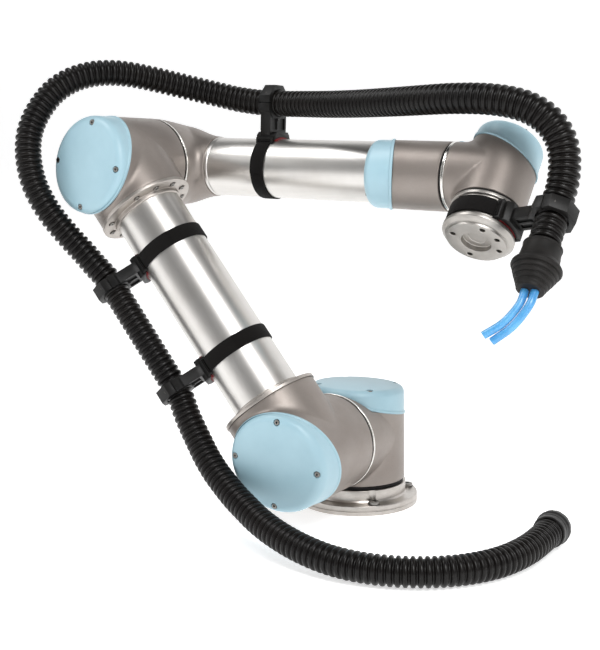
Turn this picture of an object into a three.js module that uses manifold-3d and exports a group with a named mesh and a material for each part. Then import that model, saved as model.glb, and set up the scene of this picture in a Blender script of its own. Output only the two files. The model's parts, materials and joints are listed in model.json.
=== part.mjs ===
// Six-axis articulated robot arm with an external corrugated hose dress pack.
// Millimetres, +Z up, origin at the centre of the foot where it meets its support.
// The arm plane is X-Z; joint covers face -Y. Every body is its own closed solid.
import * as THREE from 'three';
import { mergeVertices } from 'three/addons/utils/BufferGeometryUtils.js';
import Module from 'manifold-3d';

const wasm = await Module();
wasm.setup();

// ---------------------------------------------------------------- driving dimensions
const D1 = 89.159;           // height of the shoulder axis over the foot
const A2 = 425;              // shoulder axis to elbow axis
const A3 = 392.25;           // elbow axis to first wrist axis
const Y_UPPER = -135.85;     // plane of the upper-arm tube
const Y_FORE = -16.15;       // plane of the forearm tube
const Y_WRIST = -109.15;     // plane of the second wrist axis
const D5 = 94.65;            // first wrist axis to third wrist axis
const D6 = 82.3;             // second wrist axis to tool face
const ANG_UPPER = 127.87;    // upper-arm direction in X-Z, degrees
const ANG_FORE = -2.5006;    // forearm direction
const ANG_WRIST = -2.7766;   // direction of the second wrist axis
const ANG_TOOL = 50.535;     // tool axis, turned from -Y towards the floor

const GAP = 0.3;             // running gap between neighbouring bodies
const SEAT = 0.06;           // gap of seated faces

const FOOT_R = 74.5, FOOT_T = 12, COLLAR_R = 60, COLLAR_T = 27, FOOT_BORE = 30, FOOT_FLOOR = 6;
const BOLT_PCD_R = 66, BOLT_SHANK_R = 4.1, BOLT_HOLE_R = 4.5, BOLT_HEAD_R = 6.5, BOLT_HEAD_H = 8;

// large joints (base, shoulder, elbow)
const RL = 58.4, BORE_L = 48, RIM_L = 32.3, RIM_SLOPE_L = 0.46, FACE_L = 63, FACE_SLOPE_L = 0.17;
// small joints (three wrists)
const RS = 37.35, BORE_S = 29.5, RIM_S = 25.4, RIM_SLOPE_S = 0.41, FACE_S = 54, FACE_SLOPE_S = 0.14;

const TUBE_U_R = 42.26, TUBE_U_IN = 38.5, FLANGE_R = 59.6, FLANGE_T = 4.5;
const TUBE_U_S0 = 68.9, TUBE_U_S1 = A2 - 65.6;
const TUBE_F_R = 36.6, TUBE_F_IN = 33, TUBE_F_S0 = 60, TUBE_F_S1 = 342;
const RING_T = 3.2, SEAL_T = 2.4;
const Y_RING_SHOULDER = -65.6;   // where the shoulder casting ends
const Y_RING_ELBOW = -69.4;      // where the elbow-link casting begins
const Y_RING_W1 = -61.2;         // where the second wrist module begins

const TOOL_R = 37.8;

const HOSE_R = 16, HOSE_IN = 13.2, CLIP_BORE = 16.45;
const CLIP_OFF = 42.7;           // hose axis above a tube surface, upper arm
const CLIP_OFF_F = 44;           // the same on the forearm
const CLIP_OFF_T = 46.2;         // the same at the tool flange
const CLIP_U1 = 145, CLIP_U2 = 294, CLIP_F = 150, CLIP_PSI = 33;
const CLIP_T = -16, CLIP_T_ANG = 17;
const FOOT_L = 13.5, TOOL_FOOT_L = 11;
const STRAP_W = 18, STRAP_T = 1.5;

// ---------------------------------------------------------------- frames
const V = (x, y, z) => new THREE.Vector3(x, y, z);
const deg = (d) => (d * Math.PI) / 180;
const dirXZ = (a) => V(Math.cos(deg(a)), 0, Math.sin(deg(a)));
const add = (a, b, s = 1) => a.clone().addScaledVector(b, s);
const u = dirXZ(ANG_UPPER), fd = dirXZ(ANG_FORE), g = dirXZ(ANG_WRIST);
const capY = V(0, -1, 0);
const dn = V(g.z, 0, -g.x);      // perpendicular to g, pointing down
const h = capY.clone().multiplyScalar(Math.cos(deg(ANG_TOOL))).addScaledVector(dn, Math.sin(deg(ANG_TOOL))).normalize();
const S0 = V(0, 0, D1);
const E0 = add(S0, u, A2);
const W0 = add(E0, fd, A3);
const at = (p, y) => V(p.x, y, p.z);
const Su = at(S0, Y_UPPER), Eu = at(E0, Y_UPPER), Ef = at(E0, Y_FORE), J4f = at(W0, Y_FORE), J4w = at(W0, Y_WRIST);
const J56 = add(J4w, g, D5);
const T0 = add(J56, h, D6);

// ---------------------------------------------------------------- helpers
const solidOf = (geo) => {
  const q = geo.clone();
  q.deleteAttribute('normal');
  q.deleteAttribute('uv');
  const m = mergeVertices(q, 1e-4);
  return new wasm.Manifold(new wasm.Mesh({
    numProp: 3,
    vertProperties: new Float32Array(m.attributes.position.array),
    triVerts: new Uint32Array(m.index.array),
  }));
};
// frame with local Z along `z` and local X as near as possible to `x`
const basis = (o, z, x) => {
  const zz = z.clone().normalize();
  const xx = x.clone().addScaledVector(zz, -x.dot(zz)).normalize();
  const yy = new THREE.Vector3().crossVectors(zz, xx);
  return new THREE.Matrix4().makeBasis(xx, yy, zz).setPosition(o);
};
const UP = new THREE.Matrix4().makeRotationX(Math.PI / 2);
// solid of revolution about local Z; profile [[r, z], ...]
const rev = (profile, seg = 24) => {
  const pts = profile.map(([r, z]) => new THREE.Vector2(r, z));
  let area = 0;
  for (let i = 0; i < pts.length; i++) {
    const a = pts[i], b = pts[(i + 1) % pts.length];
    area += a.x * b.y - b.x * a.y;
  }
  if (area < 0) pts.reverse();
  const onAxis = pts.some((p) => p.x === 0);
  if (!onAxis) pts.push(pts[0].clone());
  else while (!(pts[0].x === 0 && pts[pts.length - 1].x === 0)) pts.push(pts.shift());
  const geo = new THREE.LatheGeometry(pts, seg);
  geo.applyMatrix4(UP);
  const s = solidOf(geo);
  if (s.volume() < 0) throw new Error('inside out profile');
  return s;
};
const cyl = (r, z0, z1, seg = 24) => rev([[0, z0], [r, z0], [r, z1], [0, z1]], seg);
const ring = (r0, r1, z0, z1, seg = 24) => rev([[r0, z0], [r1, z0], [r1, z1], [r0, z1]], seg);
// radius of a polygonal bore whose flats clear r
const clear = (r, seg) => r / Math.cos(Math.PI / seg);
const box = (x0, x1, y0, y1, z0, z1) => {
  const b = new THREE.BoxGeometry(x1 - x0, y1 - y0, z1 - z0);
  b.translate((x0 + x1) / 2, (y0 + y1) / 2, (z0 + z1) / 2);
  return solidOf(b);
};
const xf = (s, m) => s.transform(Array.from(m.elements));
// shear along Z by a slope in X and Y, then lift
const shear = (s, sx, sy, dz) => {
  const m = new THREE.Matrix4().set(1, 0, 0, 0, 0, 1, 0, 0, sx, sy, 1, dz, 0, 0, 0, 1);
  return xf(s, m);
};
const alongX = (s) => xf(s, new THREE.Matrix4().makeRotationY(Math.PI / 2));
const group = new THREE.Group();
const put = (name, s, color, rough, metal) => {
  const parts = s.decompose();
  let body = s;
  if (parts.length > 1) {
    parts.sort((a, b) => b.volume() - a.volume());
    body = parts[0];
  }
  const m = body.getMesh();
  const geo = new THREE.BufferGeometry();
  geo.setAttribute('position', new THREE.Float32BufferAttribute(Float32Array.from(m.vertProperties), 3));
  geo.setIndex(new THREE.Uint32BufferAttribute(Uint32Array.from(m.triVerts), 1));
  geo.computeVertexNormals();
  const mesh = new THREE.Mesh(geo, new THREE.MeshStandardMaterial({ color, roughness: rough, metalness: metal }));
  mesh.name = name;
  group.add(mesh);
};
const GREY = 0x8a837c, BLUE = 0xaac8d4, ALU = 0xd0cfcc, BLACK = 0x161616, DRIVE = 0x55585c, RED = 0x6d1c1c, TUBEBLUE = 0x5aaaeb;

// ---------------------------------------------------------------- joint modules
// local Z towards the cover, local X towards the neck
const housing = (o) => {
  const zTop = o.rim + Math.hypot(o.sx, o.sy) * o.R + 2;
  let s = cyl(o.R, -o.ring, zTop, o.seg);
  if (o.neck > 0) s = s.add(alongX(cyl(o.neckR, 0, o.neck, o.seg)));
  s = s.subtract(shear(cyl(o.R + 0.8, 0, 160, o.seg), o.sx, o.sy, o.rim));
  s = s.subtract(cyl(o.bore, -o.ring + o.floor, 160, 18));
  s = s.subtract(cyl(o.pass, -o.ring - 5, 0, 10));
  if (o.neck > 0) s = s.subtract(alongX(cyl(o.neckBore, 0, o.neck + 5, 14)));
  return s;
};
const cover = (o) => {
  const f = o.fillet, prof = [[0, -60], [o.R, -60], [o.R, -f]];
  for (let i = 1; i <= 3; i++) {
    const a = (i / 3) * Math.PI / 2;
    prof.push([o.R - f + f * Math.cos(a), -f + f * Math.sin(a)]);
  }
  prof.push([0, o.dome]);
  let s = shear(rev(prof, o.seg), o.fx, o.fy, o.face - o.dome);
  const t = o.wall, fi = Math.max(f - t, 1), pin = [[0, -80], [o.R - t, -80], [o.R - t, -t - fi]];
  for (let i = 1; i <= 1; i++) {
    const a = (i / 1) * Math.PI / 2;
    pin.push([o.R - t - fi + fi * Math.cos(a), -t - fi + fi * Math.sin(a)]);
  }
  pin.push([0, -t]);
  s = s.subtract(shear(rev(pin, 18), o.fx, o.fy, o.face - o.dome));
  s = s.subtract(shear(cyl(o.R + 6, -160, GAP, o.seg), o.sx, o.sy, o.rim));
  for (const a of o.screws) {
    const c = [o.screwR * Math.cos(a), o.screwR * Math.sin(a)];
    const z = o.face - o.dome + o.fx * c[0] + o.fy * c[1];
    s = s.subtract(cyl(o.screwHole, z - 2.2, z + 20, 6).translate([c[0], c[1], 0]));
  }
  return s;
};
// hollow-shaft drive: flange at the output, gear can, motor, brake disc
const drive = (rF, rG, rM, z0, len, bore, seg = 14) => rev([
  [bore, z0], [rF, z0], [rF, z0 + len * 0.14], [rG, z0 + len * 0.14], [rG, z0 + len * 0.48],
  [rM, z0 + len * 0.48], [rM, z0 + len], [bore, z0 + len],
], seg);
const QUARTERS = [0.785, 2.356, 3.927, 5.498];
const LARGE = { R: RL, bore: BORE_L, floor: 9, pass: 20, seg: 26, rim: RIM_L, sx: RIM_SLOPE_L, sy: 0, neckR: 58.2, neckBore: 37, face: FACE_L, fx: FACE_SLOPE_L, fy: 0, fillet: 11, dome: 2.5, wall: 3, screws: QUARTERS, screwR: 50.4, screwHole: 3.6 };
const SMALL = { R: RS, bore: BORE_S, floor: 7, pass: 12, seg: 22, rim: RIM_S, sx: RIM_SLOPE_S, sy: 0, neckR: RS - 0.15, neckBore: 27, face: FACE_S, fx: FACE_SLOPE_S, fy: 0, fillet: 10, dome: 2, wall: 2.5, screws: QUARTERS, screwR: 31.2, screwHole: 2.2 };

// ---------------------------------------------------------------- base
{
  let foot = rev([[0, 0], [FOOT_R, 0], [FOOT_R, FOOT_T - 1], [FOOT_R - 1, FOOT_T], [COLLAR_R, FOOT_T], [COLLAR_R, COLLAR_T], [FOOT_BORE, COLLAR_T], [FOOT_BORE, FOOT_FLOOR], [0, FOOT_FLOOR]], 32);
  for (let i = 0; i < 4; i++) {
    const a = Math.PI / 4 + i * Math.PI / 2, x = BOLT_PCD_R * Math.cos(a), y = BOLT_PCD_R * Math.sin(a);
    foot = foot.subtract(cyl(clear(BOLT_HOLE_R, 8), -1, 40, 8).translate([x, y, 0]));
    foot = foot.subtract(cyl(clear(7.6, 10), FOOT_T - 4, 40, 10).translate([x, y, 0]));
    const z = FOOT_T - 4 + SEAT;
    const bolt = rev([[0, 0.4], [BOLT_SHANK_R, 0.4], [BOLT_SHANK_R, z], [BOLT_HEAD_R, z], [BOLT_HEAD_R, z + BOLT_HEAD_H], [0, z + BOLT_HEAD_H]], 10)
      .subtract(cyl(3.4, z + 3.4, z + 12, 6)).translate([x, y, 0]);
    put('base_bolt_' + (i + 1), bolt, 0x9a9a98, 0.3, 0.9);
  }
  put('base_foot', foot, ALU, 0.35, 0.9);
  put('base_seal', ring(46, 56.8, COLLAR_T + SEAT, COLLAR_T + 4.2, 20), BLACK, 0.7, 0);
}

// ---------------------------------------------------------------- shoulder (turns about the foot)
{
  const m = basis(S0, V(0, 0, 1), capY);     // local X = -Y, local Y = +X
  const o = { ...LARGE, ring: D1 - (COLLAR_T + 4.5), rim: 124.8 - D1, sx: 0.162, sy: -0.16, neck: -Y_RING_SHOULDER, neckR: 57.5, neckBore: 44, face: 152 - D1, fx: 0.03, fy: -0.03, fillet: 9, pass: 24 };
  put('shoulder_housing', xf(housing(o), m), GREY, 0.5, 0.6);
  put('shoulder_top_cap', xf(cover(o), m), BLUE, 0.45, 0);
  put('base_joint_drive', xf(drive(46, 42, 38, -o.ring + o.floor + SEAT, 78, 9), m), DRIVE, 0.4, 0.7);
  put('shoulder_joint_ring', xf(ring(40, RL + 0.2, 0, RING_T, 26), basis(V(0, Y_RING_SHOULDER - SEAT, D1), capY, V(1, 0, 0))), ALU, 0.25, 1);
}

// ---------------------------------------------------------------- upper arm
{
  const ys = Y_RING_SHOULDER - SEAT - RING_T - GAP;
  put('shoulder_seal', xf(ring(38, RL - 1.6, 0, SEAL_T, 18), basis(V(0, ys, D1), capY, V(1, 0, 0))), BLACK, 0.7, 0);
  const lo = { ...LARGE, ring: (ys - SEAL_T - SEAT) - Y_UPPER, neck: 68.6 };
  const ml = basis(Su, capY, u);
  put('upper_arm_lower_housing', xf(housing(lo), ml), GREY, 0.5, 0.6);
  put('upper_arm_lower_cap', xf(cover(lo), ml), BLUE, 0.45, 0);
  put('shoulder_joint_drive', xf(drive(46, 42, 38, -lo.ring + lo.floor + SEAT, 78, 9), ml), DRIVE, 0.4, 0.7);

  const ye = Y_RING_ELBOW - SEAT - RING_T - GAP;
  put('elbow_seal', xf(ring(38, RL - 1.6, 0, SEAL_T, 18), basis(V(E0.x, ye, E0.z), capY, V(1, 0, 0))), BLACK, 0.7, 0);
  const el = { ...LARGE, ring: (ye - SEAL_T - SEAT) - Y_UPPER, neck: 65.3 };
  const me = basis(Eu, capY, u.clone().negate());
  put('elbow_housing', xf(housing(el), me), GREY, 0.5, 0.6);
  put('elbow_cap', xf(cover(el), me), BLUE, 0.45, 0);
  put('elbow_joint_drive', xf(drive(46, 42, 38, -el.ring + el.floor + SEAT, 76, 9), me), DRIVE, 0.4, 0.7);

  const t = rev([[TUBE_U_IN, TUBE_U_S0], [FLANGE_R, TUBE_U_S0], [FLANGE_R, TUBE_U_S0 + FLANGE_T], [TUBE_U_R, TUBE_U_S0 + FLANGE_T],
    [TUBE_U_R, TUBE_U_S1 - FLANGE_T], [FLANGE_R, TUBE_U_S1 - FLANGE_T], [FLANGE_R, TUBE_U_S1], [TUBE_U_IN, TUBE_U_S1]], 26);
  put('upper_arm_tube', xf(t, basis(Su, u, capY)), ALU, 0.25, 1);
}

// ---------------------------------------------------------------- forearm
{
  put('elbow_joint_ring', xf(ring(40, RL + 0.2, 0, RING_T, 26), basis(V(E0.x, Y_RING_ELBOW - SEAT, E0.z), capY, V(1, 0, 0))), ALU, 0.25, 1);
  // casting that turns the joint axis into the tube axis
  const dir = V(0, 1, 0), me = basis(V(E0.x, Y_RING_ELBOW, E0.z), dir, fd);
  const cup = (R, z0, lift, dome) => {
    const p = [[0, z0], [R, z0], [R, lift]];
    for (let i = 1; i <= 3; i++) {
      const a = (i / 3) * Math.PI / 2;
      p.push([R * Math.cos(a), lift + dome * Math.sin(a)]);
    }
    p[p.length - 1][0] = 0;
    return rev(p, 24);
  };
  const mf = basis(Ef, fd, capY);
  const flare = (dr) => rev([[0, 0], [52 - dr, 0], [50.6 - dr, 18], [45.4 - dr, 38], [39.6 - dr, 57], [38 - dr, 69], [0, 69]], 22);
  let s = xf(cup(RL, 0, 52, 44), me).add(xf(flare(0), mf));
  s = s.subtract(xf(cup(RL - 8, 9, 50, 38), me));
  s = s.subtract(xf(cyl(24, -10, 30, 10), me));
  s = s.subtract(xf(rev([[0, -5], [40, -5], [36, 40], [31, 50], [31, 80], [0, 80]], 14), mf));
  s = s.subtract(xf(cyl(clear(TUBE_F_R + 0.12, 22), TUBE_F_S0 - SEAT, 90, 22), mf));
  put('elbow_link_housing', s, GREY, 0.5, 0.6);
  put('forearm_tube', xf(ring(TUBE_F_IN, TUBE_F_R, TUBE_F_S0, TUBE_F_S1, 22), mf), ALU, 0.25, 1);

  const w1 = { ...SMALL, ring: Y_FORE - (Y_RING_W1 + RING_T + GAP + SEAL_T + SEAT), neck: A3 - TUBE_F_S1 - SEAT };
  const m1 = basis(J4f, V(0, 1, 0), fd.clone().negate());
  put('wrist_1_housing', xf(housing(w1), m1), GREY, 0.5, 0.6);
  put('wrist_1_cap', xf(cover(w1), m1), BLUE, 0.45, 0);
  put('wrist_1_drive', xf(drive(27, 24, 21, -w1.ring + w1.floor + SEAT, 56, 6, 12), m1), DRIVE, 0.4, 0.7);
  put('wrist_1_seal', xf(ring(22, RS - 1.2, 0, SEAL_T, 16), basis(V(W0.x, Y_RING_W1 + RING_T + GAP, W0.z), V(0, 1, 0), V(1, 0, 0))), BLACK, 0.7, 0);
}

// ---------------------------------------------------------------- wrist 1 link: carries the second wrist module
{
  put('wrist_1_ring', xf(ring(20, RS + 0.2, SEAT, RING_T, 22), basis(V(W0.x, Y_RING_W1, W0.z), V(0, 1, 0), V(1, 0, 0))), ALU, 0.25, 1);
  const w2 = { ...SMALL, ring: 45.2 - GAP - SEAL_T, neck: Y_RING_W1 - Y_WRIST - SEAT };
  const m2 = basis(J4w, g.clone().negate(), V(0, 1, 0));
  put('wrist_2_housing', xf(housing(w2), m2), GREY, 0.5, 0.6);
  put('wrist_2_cap', xf(cover(w2), m2), BLUE, 0.45, 0);
  put('wrist_2_drive', xf(drive(27, 24, 21, -w2.ring + w2.floor + SEAT, 56, 6, 12), m2), DRIVE, 0.4, 0.7);
  put('wrist_2_seal', xf(ring(22, RS - 1.2, 45.2 - GAP - SEAL_T + SEAT, 45.2 - GAP, 16), basis(J4w, g, V(0, 0, 1))), BLACK, 0.7, 0);
}

// ---------------------------------------------------------------- wrist 2 link: carries the third wrist module
{
  put('wrist_2_ring', xf(ring(20, RS + 0.2, 45.2, 45.2 + RING_T, 22), basis(J4w, g, V(0, 0, 1))), ALU, 0.25, 1);
  const w3 = { ...SMALL, ring: 43.1 - GAP - SEAL_T, neck: D5 - 45.2 - RING_T - SEAT };
  const m3 = basis(J56, h.clone().negate(), g.clone().negate());
  put('wrist_3_housing', xf(housing(w3), m3), GREY, 0.5, 0.6);
  put('wrist_3_cap', xf(cover(w3), m3), BLUE, 0.45, 0);
  put('wrist_3_drive', xf(drive(27, 24, 21, -w3.ring + w3.floor + SEAT, 56, 6, 12), m3), DRIVE, 0.4, 0.7);
  put('wrist_3_seal', xf(ring(22, RS - 1.2, 43.1 - GAP - SEAL_T + SEAT, 43.1 - GAP, 16), basis(J56, h, g)), BLACK, 0.7, 0);
}

// ---------------------------------------------------------------- tool flange
{
  let s = rev([[0, 43.1], [RS + 0.3, 43.1], [RS + 0.3, 46.6], [35.4, 47.4], [35.4, 70.6], [TOOL_R, 72], [TOOL_R, 75.5], [33.5, 79.2], [31.5, 79.6], [31.5, D6], [15.75, D6], [15.75, D6 - 6.2], [0, D6 - 6.2]], 26);
  for (const d of [59.5, 149.5, 239.5, 329.5, 14.5]) {
    const a = deg(d);
    s = s.subtract(cyl(2.6, D6 - 8, D6 + 3, 6).translate([25 * Math.cos(a), 25 * Math.sin(a), 0]));
  }
  put('tool_flange', xf(s, basis(J56, h, g)), ALU, 0.3, 1);
}

// ---------------------------------------------------------------- hose clips
// local Z along the tube, local X out towards the hose
const clip = (name, o, z, x, tubeR, off, padT = 2.2, padL = 14.5, footL = FOOT_L, frame = 2.6, neckW = 19.5) => {
  const m = basis(o, z, x);
  const rp0 = tubeR + 0.15, rp1 = tubeR + 0.15 + padT;
  // pad: curved slab on the tube
  let pad = ring(clear(rp0, 26), rp1, -padL, padL, 26).intersect(box(0, tubeR + 10, -15.5, 15.5, -20, 20));
  put(name + '_pad', xf(pad, m), RED, 0.8, 0);
  // bracket: foot, buckle frames, neck and chamfered hose block
  const c = off + tubeR;
  let b = box(tubeR - 12, tubeR + 8.5, -17, 17, -footL, footL).subtract(cyl(clear(rp1 + SEAT, 26), -40, 40, 26));
  b = b.add(box(tubeR + 4, c - 10, -neckW, neckW, -7, 7));
  const block = cyl(24.2, -7.5, 7.5, 8).rotate([0, 0, 22.5]);
  b = b.add(block.translate([c, 0, 0]));
  for (const sgn of [-1, 1]) {
    let f = box(-4.5, 3, -1.6, 1.6, -STRAP_W / 2 - frame, STRAP_W / 2 + frame);
    f = f.subtract(box(-2.6, 1.1, -4, 4, -STRAP_W / 2 - 0.4, STRAP_W / 2 + 0.4));
    f = f.translate([tubeR - 1.5, sgn * 19.8, 0]);
    const arm = box(tubeR - 3.4, tubeR + 1.2, Math.min(sgn * 16, sgn * 18.6), Math.max(sgn * 16, sgn * 18.6), -STRAP_W / 2 - frame + 0.2, STRAP_W / 2 + frame - 0.2);
    b = b.add(f).add(arm.subtract(box(0, 200, -60, 60, -STRAP_W / 2 + 3, STRAP_W / 2 - 3)));
  }
  b = b.subtract(cyl(clear(HOSE_R + 1.3, 12), -40, 40, 12).translate([c, 0, 0]));
  b = b.subtract(cyl(clear(tubeR + 0.4, 26), -60, 60, 26));
  put(name + '_bracket', xf(b, m), BLACK, 0.45, 0);
  let st = ring(clear(tubeR + 0.2, 26), clear(tubeR + 0.2 + STRAP_T, 26), -STRAP_W / 2, STRAP_W / 2, 26);
  st = st.subtract(box(0, tubeR + 12, -21.9, 21.9, -30, 30));
  put(name + '_strap', xf(st, m), BLACK, 0.85, 0);
};
const nU = V(-u.z, 0, u.x), nF = V(-fd.z, 0, fd.x);
if (nU.x > 0) nU.negate();
const cU = nU.clone().multiplyScalar(Math.cos(deg(CLIP_PSI))).addScaledVector(capY, Math.sin(deg(CLIP_PSI)));
const w1v = g.clone().addScaledVector(h, -g.dot(h)).normalize();
const w2v = new THREE.Vector3().crossVectors(h, w1v);
const cT = w1v.clone().multiplyScalar(Math.cos(deg(CLIP_T_ANG))).addScaledVector(w2v, Math.sin(deg(CLIP_T_ANG)));
clip('clip_upper_arm_low', add(Su, u, CLIP_U1), u, cU, TUBE_U_R, CLIP_OFF);
clip('clip_upper_arm_high', add(Su, u, CLIP_U2), u, cU, TUBE_U_R, CLIP_OFF);
clip('clip_forearm', add(Ef, fd, CLIP_F), fd, nF, TUBE_F_R, CLIP_OFF_F);
const TOOL_STRAP_R = 35.4;
clip('clip_tool', add(T0, h, CLIP_T - 6.9), h, cT, TOOL_STRAP_R, CLIP_OFF_T + TOOL_R - TOOL_STRAP_R, 2.8, 10.8, TOOL_FOOT_L, 1.9, 10.5);

// ---------------------------------------------------------------- hose
const onU = (s) => add(add(Su, u, s), cU, TUBE_U_R + CLIP_OFF);
const onF = (s) => add(add(Ef, fd, s), nF, TUBE_F_R + CLIP_OFF_F);
const onT = (s) => add(add(T0, h, s), cT, TOOL_R + CLIP_OFF_T);
const TAIL = [[274.4, -55.4, 20.4], [274.9, -97.4, 19.3], [272.6, -132.1, 17.9], [267.1, -159.4, 17], [259.6, -181.2, 16.5], [250.4, -199, 16.3], [240, -213.9, 16.2], [228.5, -226.6, 16.2], [215.9, -237.2, 16.2], [202.2, -245.9, 16.2], [187.7, -252.9, 16.2], [172.2, -258.5, 16.3], [155.9, -262.3, 16.5]];
const BASE_LOOP = [[138.8, -264.6, 16.9], [121, -265.4, 17.8], [102.6, -264.4, 19.2], [83.6, -262, 21.6], [64.1, -258, 24.4], [44.3, -252.6, 28], [24, -246, 32.4], [3.4, -238.4, 38.2], [-16.7, -230, 45.6], [-37, -221.8, 54], [-56, -214, 64], [-73.9, -207, 75.2], [-89.7, -200.6, 88], [-103.5, -194.8, 102], [-116.3, -190, 116.8], [-127.9, -186.2, 132.4]];
const ELBOW_LOOP = [[-261.3, -187, 304.8], [-273.4, -191.5, 319.6], [-285.6, -197.5, 334.6], [-297, -204, 350.4], [-307.6, -210, 366.8], [-317, -214.5, 384.4], [-325.4, -216.5, 402.4], [-332, -216, 422.2], [-336.6, -213, 442.4], [-338.4, -207.6, 462.6], [-336.8, -199, 481.6], [-331.8, -188, 499.6], [-324.5, -175.9, 514.8], [-314.4, -161.7, 526.4], [-303.6, -147.1, 533.6], [-292.3, -132.2, 537.4], [-280.2, -116.8, 538.4], [-268.1, -101.5, 537], [-255.3, -86.7, 533.8], [-241.7, -72.4, 529.7], [-227.1, -59.1, 525.2], [-211.3, -46.9, 520.4], [-194.3, -36.3, 515.4], [-176.2, -27.5, 510.4], [-156.5, -20.9, 505.2]];
const WRIST_LOOP = [[-87.8, -17.6, 497], [-61.7, -23.4, 495.4], [-34.1, -32.9, 493.6], [-5.4, -45.1, 491.9], [23.9, -59.5, 490.4], [53, -75, 489.2], [81.4, -90.4, 488.2], [108.3, -104.6, 487.4], [133.5, -116.8, 486.8], [156.7, -126.6, 486.4], [178.2, -134, 486], [198.3, -139.4, 485.2], [217.1, -142.8, 484], [234.9, -144.6, 482], [251.2, -145.2, 479], [265.8, -145, 474.6], [278.2, -144.4, 468.6], [288.2, -143.6, 461.2], [296.4, -143, 452], [302.6, -142.8, 441], [306.6, -143.8, 427.6], [308.2, -146.8, 412], [308, -151.6, 396.6]];
const route = [
  ...TAIL.map((p) => V(...p)), ...BASE_LOOP.map((p) => V(...p)),
  onU(CLIP_U1 - 8), onU(CLIP_U1 + 8), onU((CLIP_U1 + CLIP_U2) / 2), onU(CLIP_U2 - 8), onU(CLIP_U2 + 8),
  ...ELBOW_LOOP.map((p) => V(...p)), onF(CLIP_F - 8), onF(CLIP_F + 8),
  ...WRIST_LOOP.map((p) => V(...p)), onT(CLIP_T - 14.9), onT(CLIP_T + 1.1), onT(8), onT(34), onT(56).add(V(-2, -1, 0)), onT(78).add(V(-6, -4, -1)),
];
const spline = new THREE.CatmullRomCurve3(route, false, 'centripetal');
spline.arcLengthDivisions = 4000;
const TOTAL = spline.getLength();
// arc-length parameter of the point of the route nearest to p
const uAt = (p) => {
  let best = 0, bd = 1e9;
  for (let i = 0; i <= 4000; i++) {
    const d = spline.getPointAt(i / 4000).distanceTo(p);
    if (d < bd) { bd = d; best = i / 4000; }
  }
  return best;
};
class Piece extends THREE.Curve {
  constructor(a, b) { super(); this.a = a; this.b = b; }
  getPoint(t, out = new THREE.Vector3()) { return out.copy(spline.getPointAt(Math.min(1, Math.max(0, this.a + (this.b - this.a) * t)))); }
}
const sweep = (curve, len, r, rin, step, seg = 10, segIn = 6) => {
  const sh = new THREE.Shape();
  for (let i = 0; i < seg; i++) { const a = (i / seg) * 2 * Math.PI; sh[i ? 'lineTo' : 'moveTo'](r * Math.cos(a), r * Math.sin(a)); }
  sh.closePath();
  if (rin > 0) {
    const ho = new THREE.Path();
    for (let i = 0; i < segIn; i++) { const a = -(i / segIn) * 2 * Math.PI; ho[i ? 'lineTo' : 'moveTo'](rin * Math.cos(a), rin * Math.sin(a)); }
    ho.closePath();
    sh.holes.push(ho);
  }
  return solidOf(new THREE.ExtrudeGeometry(sh, { steps: Math.max(2, Math.round(len / step)), extrudePath: curve, bevelEnabled: false }));
};
const hose = (name, a, b, step = 26) => put(name, sweep(new Piece(a, b), (b - a) * TOTAL, HOSE_R, HOSE_IN, step), BLACK, 0.6, 0);
const g2 = 0.25 / TOTAL;
const uL = uAt(onU(CLIP_U1)), uH = uAt(onU(CLIP_U2)), uF = uAt(onF(CLIP_F)), uT = uAt(onT(CLIP_T - 6.9));
const BOOT_AT = 47;               // hose end past the tool clip
const uEnd = uT + BOOT_AT / TOTAL;
const COLLAR_LEN = 20;
hose('hose_base_run', 3 / TOTAL, uL - g2);
hose('hose_upper_arm_run', uL + g2, uH - g2, 40);
hose('hose_elbow_loop', uH + g2, uF - g2);
hose('hose_wrist_loop', uF + g2, uT - g2);
hose('hose_end_run', uT + g2, uEnd, 9);
{
  // end collar of the tail
  const p = spline.getPointAt(0), t = spline.getTangentAt(8 / TOTAL);
  const s = rev([[HOSE_R + 0.3, 0.6], [HOSE_R + 3.2, 0.6], [HOSE_R + 3.8, 6], [HOSE_R + 2.2, 7.2], [HOSE_R + 2.2, COLLAR_LEN], [HOSE_R + 0.3, COLLAR_LEN]], 18);
  const lip = rev([[HOSE_IN - 1, -2], [HOSE_R + 3.2, -2], [HOSE_R + 3.2, 0.8], [HOSE_R + 0.3, 0.8], [HOSE_R + 0.3, 0.7], [HOSE_IN - 1, 0.7]], 18);
  put('hose_end_collar', xf(s.add(lip), basis(p, t, V(0, 0, 1))), BLACK, 0.5, 0);
}
{
  // rubber boot over the tool end and the two air lines leaving it
  const p = spline.getPointAt(uEnd - 14 / TOTAL), t = spline.getTangentAt(uEnd - 4 / TOTAL);
  const mb = basis(p, t, V(1, 0, 0));
  let s = rev([[HOSE_R + 0.45, 0], [19.4, 0], [20, 1.4], [20.4, 24], [25, 31], [24.4, 34], [21.8, 36], [20.4, 42], [16.6, 50], [13.6, 57], [0, 57], [0, 50], [10.5, 46], [HOSE_R + 0.45, 34]], 18);
  const q = (x, y, z) => V(x, y, z).applyMatrix4(mb);
  const ends = [[-4.9, 0], [4.9, 0]];
  const lines = [];
  ends.forEach(([x, y]) => { s = s.subtract(cyl(clear(4.2, 8), 40, 70, 8).translate([x, y, 0])); });
  put('hose_boot', xf(s, mb), BLACK, 0.6, 0);
  const tips = [V(266.9, -251.2, 258.8), V(274.2, -247.9, 253)];
  ends.forEach(([x, y], i) => {
    const a = q(x, y, 48), b = q(x, y, 60), c = q(x - 1, y, 72);
    const end = tips[i];
    const mid = c.clone().lerp(end, 0.5).add(V(3, -1, -2));
    const cv = new THREE.CatmullRomCurve3([a, b, c, mid, end], false, 'centripetal');
    lines.push(cv);
    put('air_line_' + (i + 1), sweep(cv, cv.getLength(), 4, 2.6, 12, 8, 5), TUBEBLUE, 0.4, 0);
  });
}
export default group;
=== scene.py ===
import json
import math

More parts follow.
